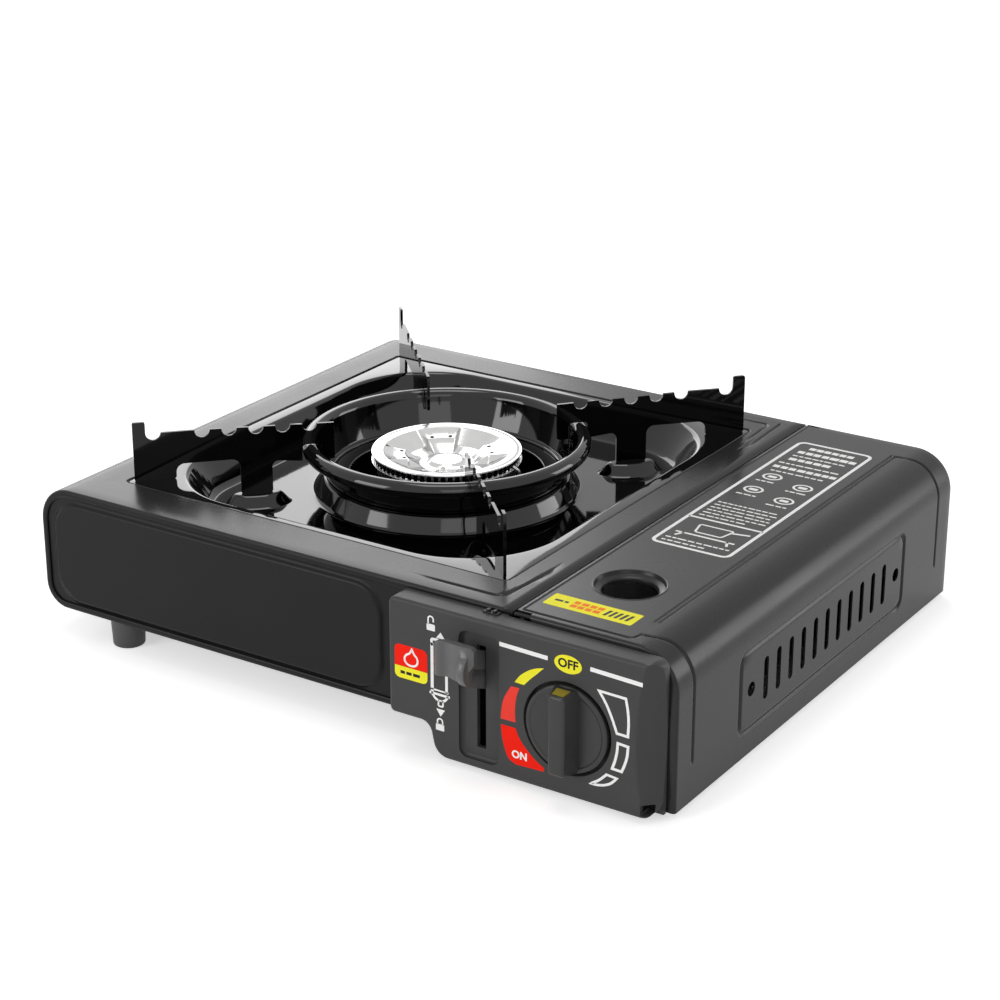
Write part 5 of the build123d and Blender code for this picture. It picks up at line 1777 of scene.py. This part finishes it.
    def lever_plate(self) -> bpy.types.Object:
        """Build the lever's plate, with its pivot bore and the slot in its tail.

        Returns:
            The plate.
        """
        turn = Matrix.Rotation(math.radians(self.lever_tilt), 3, "X")
        across, up = turn @ Y_AXIS, turn @ Z_AXIS
        origin = LEVER_PIVOT - X_AXIS * self.lever_half
        nose, half_height, hub, tail_radius = -40, 8, 7, 4.45
        slot_start, slot_end = 8.0, 8.757
        bm = bmesh.new()
        side = [*arc(nose, 0, half_height, 90, 270), (0, -half_height),
                *arc(0, 0, hub, -90, 50.5), *arc(0, slot_end, tail_radius, 0, 180),
                (-tail_radius, half_height)]
        slab(bm, side, origin, across, up, 2 * self.lever_half)
        made = piece(bm, "moulded_lever", LEVER_ABS)
        tool = bmesh.new()
        for outline in ([*arc(0, slot_end, self.pin_bore, 0, 180),
                         *arc(0, slot_start, self.pin_bore, 180, 360)],
                        arc(0, 0, self.pivot_bore, 0, 337.5)):
            slab(tool, outline, origin - X_AXIS * 2, across, up, 2 * self.lever_half + 4)
        cut(made, tool)
        return made

    def lever_paddle(self) -> bpy.types.Object:
        """Build the paddle in front of the panel: a bowed block cut to its front view.

        Returns:
            The paddle.
        """
        face = curve_through([(67.2, -155.6), (68.4, -156.7), (70.0, -156.3), (71.8, -155.0),
                              (73.8, -154.6), (78.0, -155.2), (82.4, -155.0), (85.2, -153.4)], 6)
        back = curve_through([(85.2, -150.9), (76.0, -151.2), (71.0, -151.8), (67.6, -154.0)], 4)
        bm = bmesh.new()
        slab(bm, face + back, Z_AXIS * 44, X_AXIS, Y_AXIS, 20)
        paddle = piece(bm, "paddle", LEVER_ABS)
        front_view = rounded([(66.9, 47.9, 1.6), (79.6, 46.3, 3.0), (85.3, 54.6, 4.0),
                              (85.3, 62.2, 2.4), (66.9, 62.7, 1.6)], 6)
        keep = bmesh.new()
        slab(keep, front_view, Y_AXIS * -145, X_AXIS, Z_AXIS, 20)
        cut(paddle, keep, Joining.KEEP_INSIDE)
        return paddle

    def build_lever(self) -> None:
        """Build the lock lever as one moulded piece."""
        made = self.lever_plate()
        paddle = self.lever_paddle()
        soften(paddle, 0.7, 3)
        bake(paddle)
        soften(made, 0.5, 3)
        bake(made)
        tool = bmesh.new()
        tool.from_mesh(paddle.data)
        bpy.data.objects.remove(paddle)
        cut(made, tool, Joining.ADD)
        register(made, "lever", "panel_plastic", "lock_lever")

    @staticmethod
    def build_clip() -> None:
        """Build the little clip that holds the panel's upper edge."""
        bm = bmesh.new()
        bar(bm, (79.0, -137.6, 71.3), (86.6, -134.3, 72.2))
        for x in (80.4, 83.6):
            bar(bm, (x, -137.2, 72.0), (x + 1.6, -135.0, 73.1))
        clip = piece(bm, "panel_clip", BLACK_STEEL)
        soften(clip, 0.35)
        register(clip, "base", "black_steel")

    def build(self) -> None:
        """Build the controls and dress the panel."""
        dress("control_panel", PANEL_ABS, 0.35)
        self.build_clip()
        self.build_print()
        self.build_knob()
        self.build_lever()


# ---- studio -----------------------------------------------------------------------------------
@dataclass
class Studio:
    """Pale floor, soft light and camera.

    A lamp is its name, its place in metres, its width in metres and its power in watts.
    """

    azimuth: float = 33.092
    elevation: float = 21.786
    stand: tuple[float, float, float] = (593.94, -914.37, 493.73)
    lens: float = 89.224
    surround: float = 0.34
    floor_glow: float = 0.51
    lamps: tuple[tuple[str, Corner, float, float], ...] = (
        ("key", (-1.10, 1.02, 0.66), 0.9, 6.5), ("overhead", (-0.1, 0.1, 1.9), 0.8, 8.0),
        ("front", (-0.9, -1.8, 0.6), 1.0, 15.0), ("side", (1.25, 1.25, 0.42), 0.7, 6.0),
        ("fill", (1.5, -1.5, 0.9), 1.2, 5.0))

    def camera(self) -> None:
        """Place the camera."""
        around = math.radians(self.azimuth)
        up = math.radians(self.elevation)
        back = Vector((math.sin(around) * math.cos(up), -math.cos(around) * math.cos(up),
                       math.sin(up)))
        side = Vector((math.cos(around), math.sin(around), 0.0))
        over = back.cross(side)
        data = bpy.data.cameras.new("camera")
        data.lens = self.lens
        data.sensor_width = 36.0
        data.clip_start = 0.01
        data.clip_end = 50.0
        made = bpy.data.objects.new("camera", data)
        made.matrix_world = Matrix((
            (side.x, over.x, back.x, self.stand[0] * MM),
            (side.y, over.y, back.y, self.stand[1] * MM),
            (side.z, over.z, back.z, self.stand[2] * MM),
            (0, 0, 0, 1)))
        bpy.context.scene.collection.objects.link(made)
        bpy.context.scene.camera = made

    def lamp(self, name: str, place: Sequence[float], size: float, power: float) -> None:
        """Add a soft lamp that looks at the stove.

        Args:
            name: Name of the lamp.
            place: Where it stands, in metres.
            size: Its width in metres.
            power: Its power in watts.
        """
        data = bpy.data.lights.new(name, "AREA")
        data.shape = "SQUARE"
        data.size = size
        data.energy = power
        made = bpy.data.objects.new(name, data)
        spot = Vector(place)
        stove_middle = Z_AXIS * 0.04
        facing = (spot - stove_middle).to_track_quat("Z", "Y").to_matrix().to_4x4()
        made.matrix_world = Matrix.Translation(spot) @ facing
        bpy.context.scene.collection.objects.link(made)

    def seen_level(self, tree: bpy.types.NodeTree) -> bpy.types.NodeSocket:
        """Tell what the eye sees, straight or in gloss or glass, from what only lights.

        Args:
            tree: Node tree that asks.

        Returns:
            Socket that is 1 for rays from the camera, from gloss and through glass, or else 0.
        """
        path = add_node(tree, "ShaderNodeLightPath")
        first = add_node(tree, "ShaderNodeMath", {"operation": "MAXIMUM"},
                         links={0: path.outputs["Is Camera Ray"], 1: path.outputs["Is Glossy Ray"]})
        both = add_node(tree, "ShaderNodeMath", {"operation": "MAXIMUM"},
                        links={0: first.outputs[0], 1: path.outputs["Is Transmission Ray"]})
        return both.outputs[0]

    def world(self, level: float) -> None:
        """Set a surround that is white to the eye and lights the stove at a plain level.

        Args:
            level: Strength of its light.
        """
        world = bpy.data.worlds.new("surround")
        bpy.context.scene.world = world
        world.use_nodes = True
        tree = world.node_tree
        tree.nodes.clear()
        strength = add_node(tree, "ShaderNodeMapRange", values={"To Min": level, "To Max": 1.0},
                            links={"Value": self.seen_level(tree)}).outputs["Result"]
        back = add_node(tree, "ShaderNodeBackground", values={"Color": (1, 1, 1, 1)},
                        links={"Strength": strength})
        add_node(tree, "ShaderNodeOutputWorld", links={"Surface": back.outputs["Background"]})

    def floor(self) -> None:
        """Lay the floor, white to the eye with the stove's soft shadow on it."""
        bm = bmesh.new()
        bmesh.ops.create_grid(bm, x_segments=1, y_segments=1, size=8.0)
        mesh = bpy.data.meshes.new("floor")
        bm.to_mesh(mesh)
        bm.free()
        made = place_in_scene("floor", mesh)
        paper = bpy.data.materials.new("white_paper")
        paper.use_nodes = True
        tree = paper.node_tree
        shader = tree.nodes["Principled BSDF"]
        shader.inputs["Base Color"].default_value = linear("ffffff")
        shader.inputs["Roughness"].default_value = 1.0
        shader.inputs["Specular IOR Level"].default_value = 0.0
        shader.inputs["Emission Color"].default_value = (1, 1, 1, 1)
        glow = add_node(tree, "ShaderNodeMath", {"operation": "MULTIPLY"}, {1: self.floor_glow},
                        {0: self.seen_level(tree)}).outputs[0]
        tree.links.new(glow, shader.inputs["Emission Strength"])
        mesh.materials.append(paper)

    def build(self) -> None:
        """Set up the studio."""
        self.camera()
        self.world(self.surround)
        for name, place, size, power in self.lamps:
            self.lamp(name, place, size, power)
        self.floor()
        bpy.context.scene.view_settings.view_transform = "Standard"


def dress_hidden_parts() -> None:
    """Finish the CAD parts that show through the openings or when the lid is up."""
    dressed: dict[tuple[Finish, float], tuple[str, ...]] = {
        (BARE_STEEL, 0.2): ("cartridge_tub", "partition", "valve_bulkhead", "cradle_rails",
                            "lever_bracket", "burner_bracket", "slide_guides",
                            "cartridge_slide"),
        (BARE_STEEL, 0.15): ("mixing_tube",),
        (BARE_STEEL, 0.0): ("valve_spindle", "lever_pin", "electrode_pin"),
        (BLACK_STEEL, 0.15): ("panel_screws", "valve_screws", "burner_screws",
                              "hinge_pin_front", "hinge_pin_rear"),
        (BLACK_STEEL, 0.2): ("lead_clips",),
        (CAST_ZINC, 0.3): ("valve_body", "burner_base", "regulator_cover", "igniter_cam"),
        (WHITE_NYLON, 0.3): ("igniter_body", "igniter_plunger"),
        (COPPER, 0.0): ("gas_pipe",),
        (BRASS, 0.2): ("injector",),
        (CERAMIC, 0.2): ("electrode_ceramic",),
        (LEAD_SILICONE, 0.0): ("ignition_lead",),
        (BLADE_ENAMEL, 0.3): ("pan_blade_front_left", "pan_blade_front_right",
                              "pan_blade_rear_right", "pan_blade_rear_left"),
    }
    for (finish, edge), names in dressed.items():
        for name in names:
            dress(name, finish, edge)


def main() -> None:
    """Build and dress the stove, then set up the studio."""
    logging.basicConfig(level=logging.INFO, format="%(name)s: %(message)s")
    Body().build()
    Lid().build()
    Tray().build()
    Windshield().build()
    Burner().build()
    Controls().build()
    dress_hidden_parts()
    Studio().build()


if __name__ == "__main__":
    main()
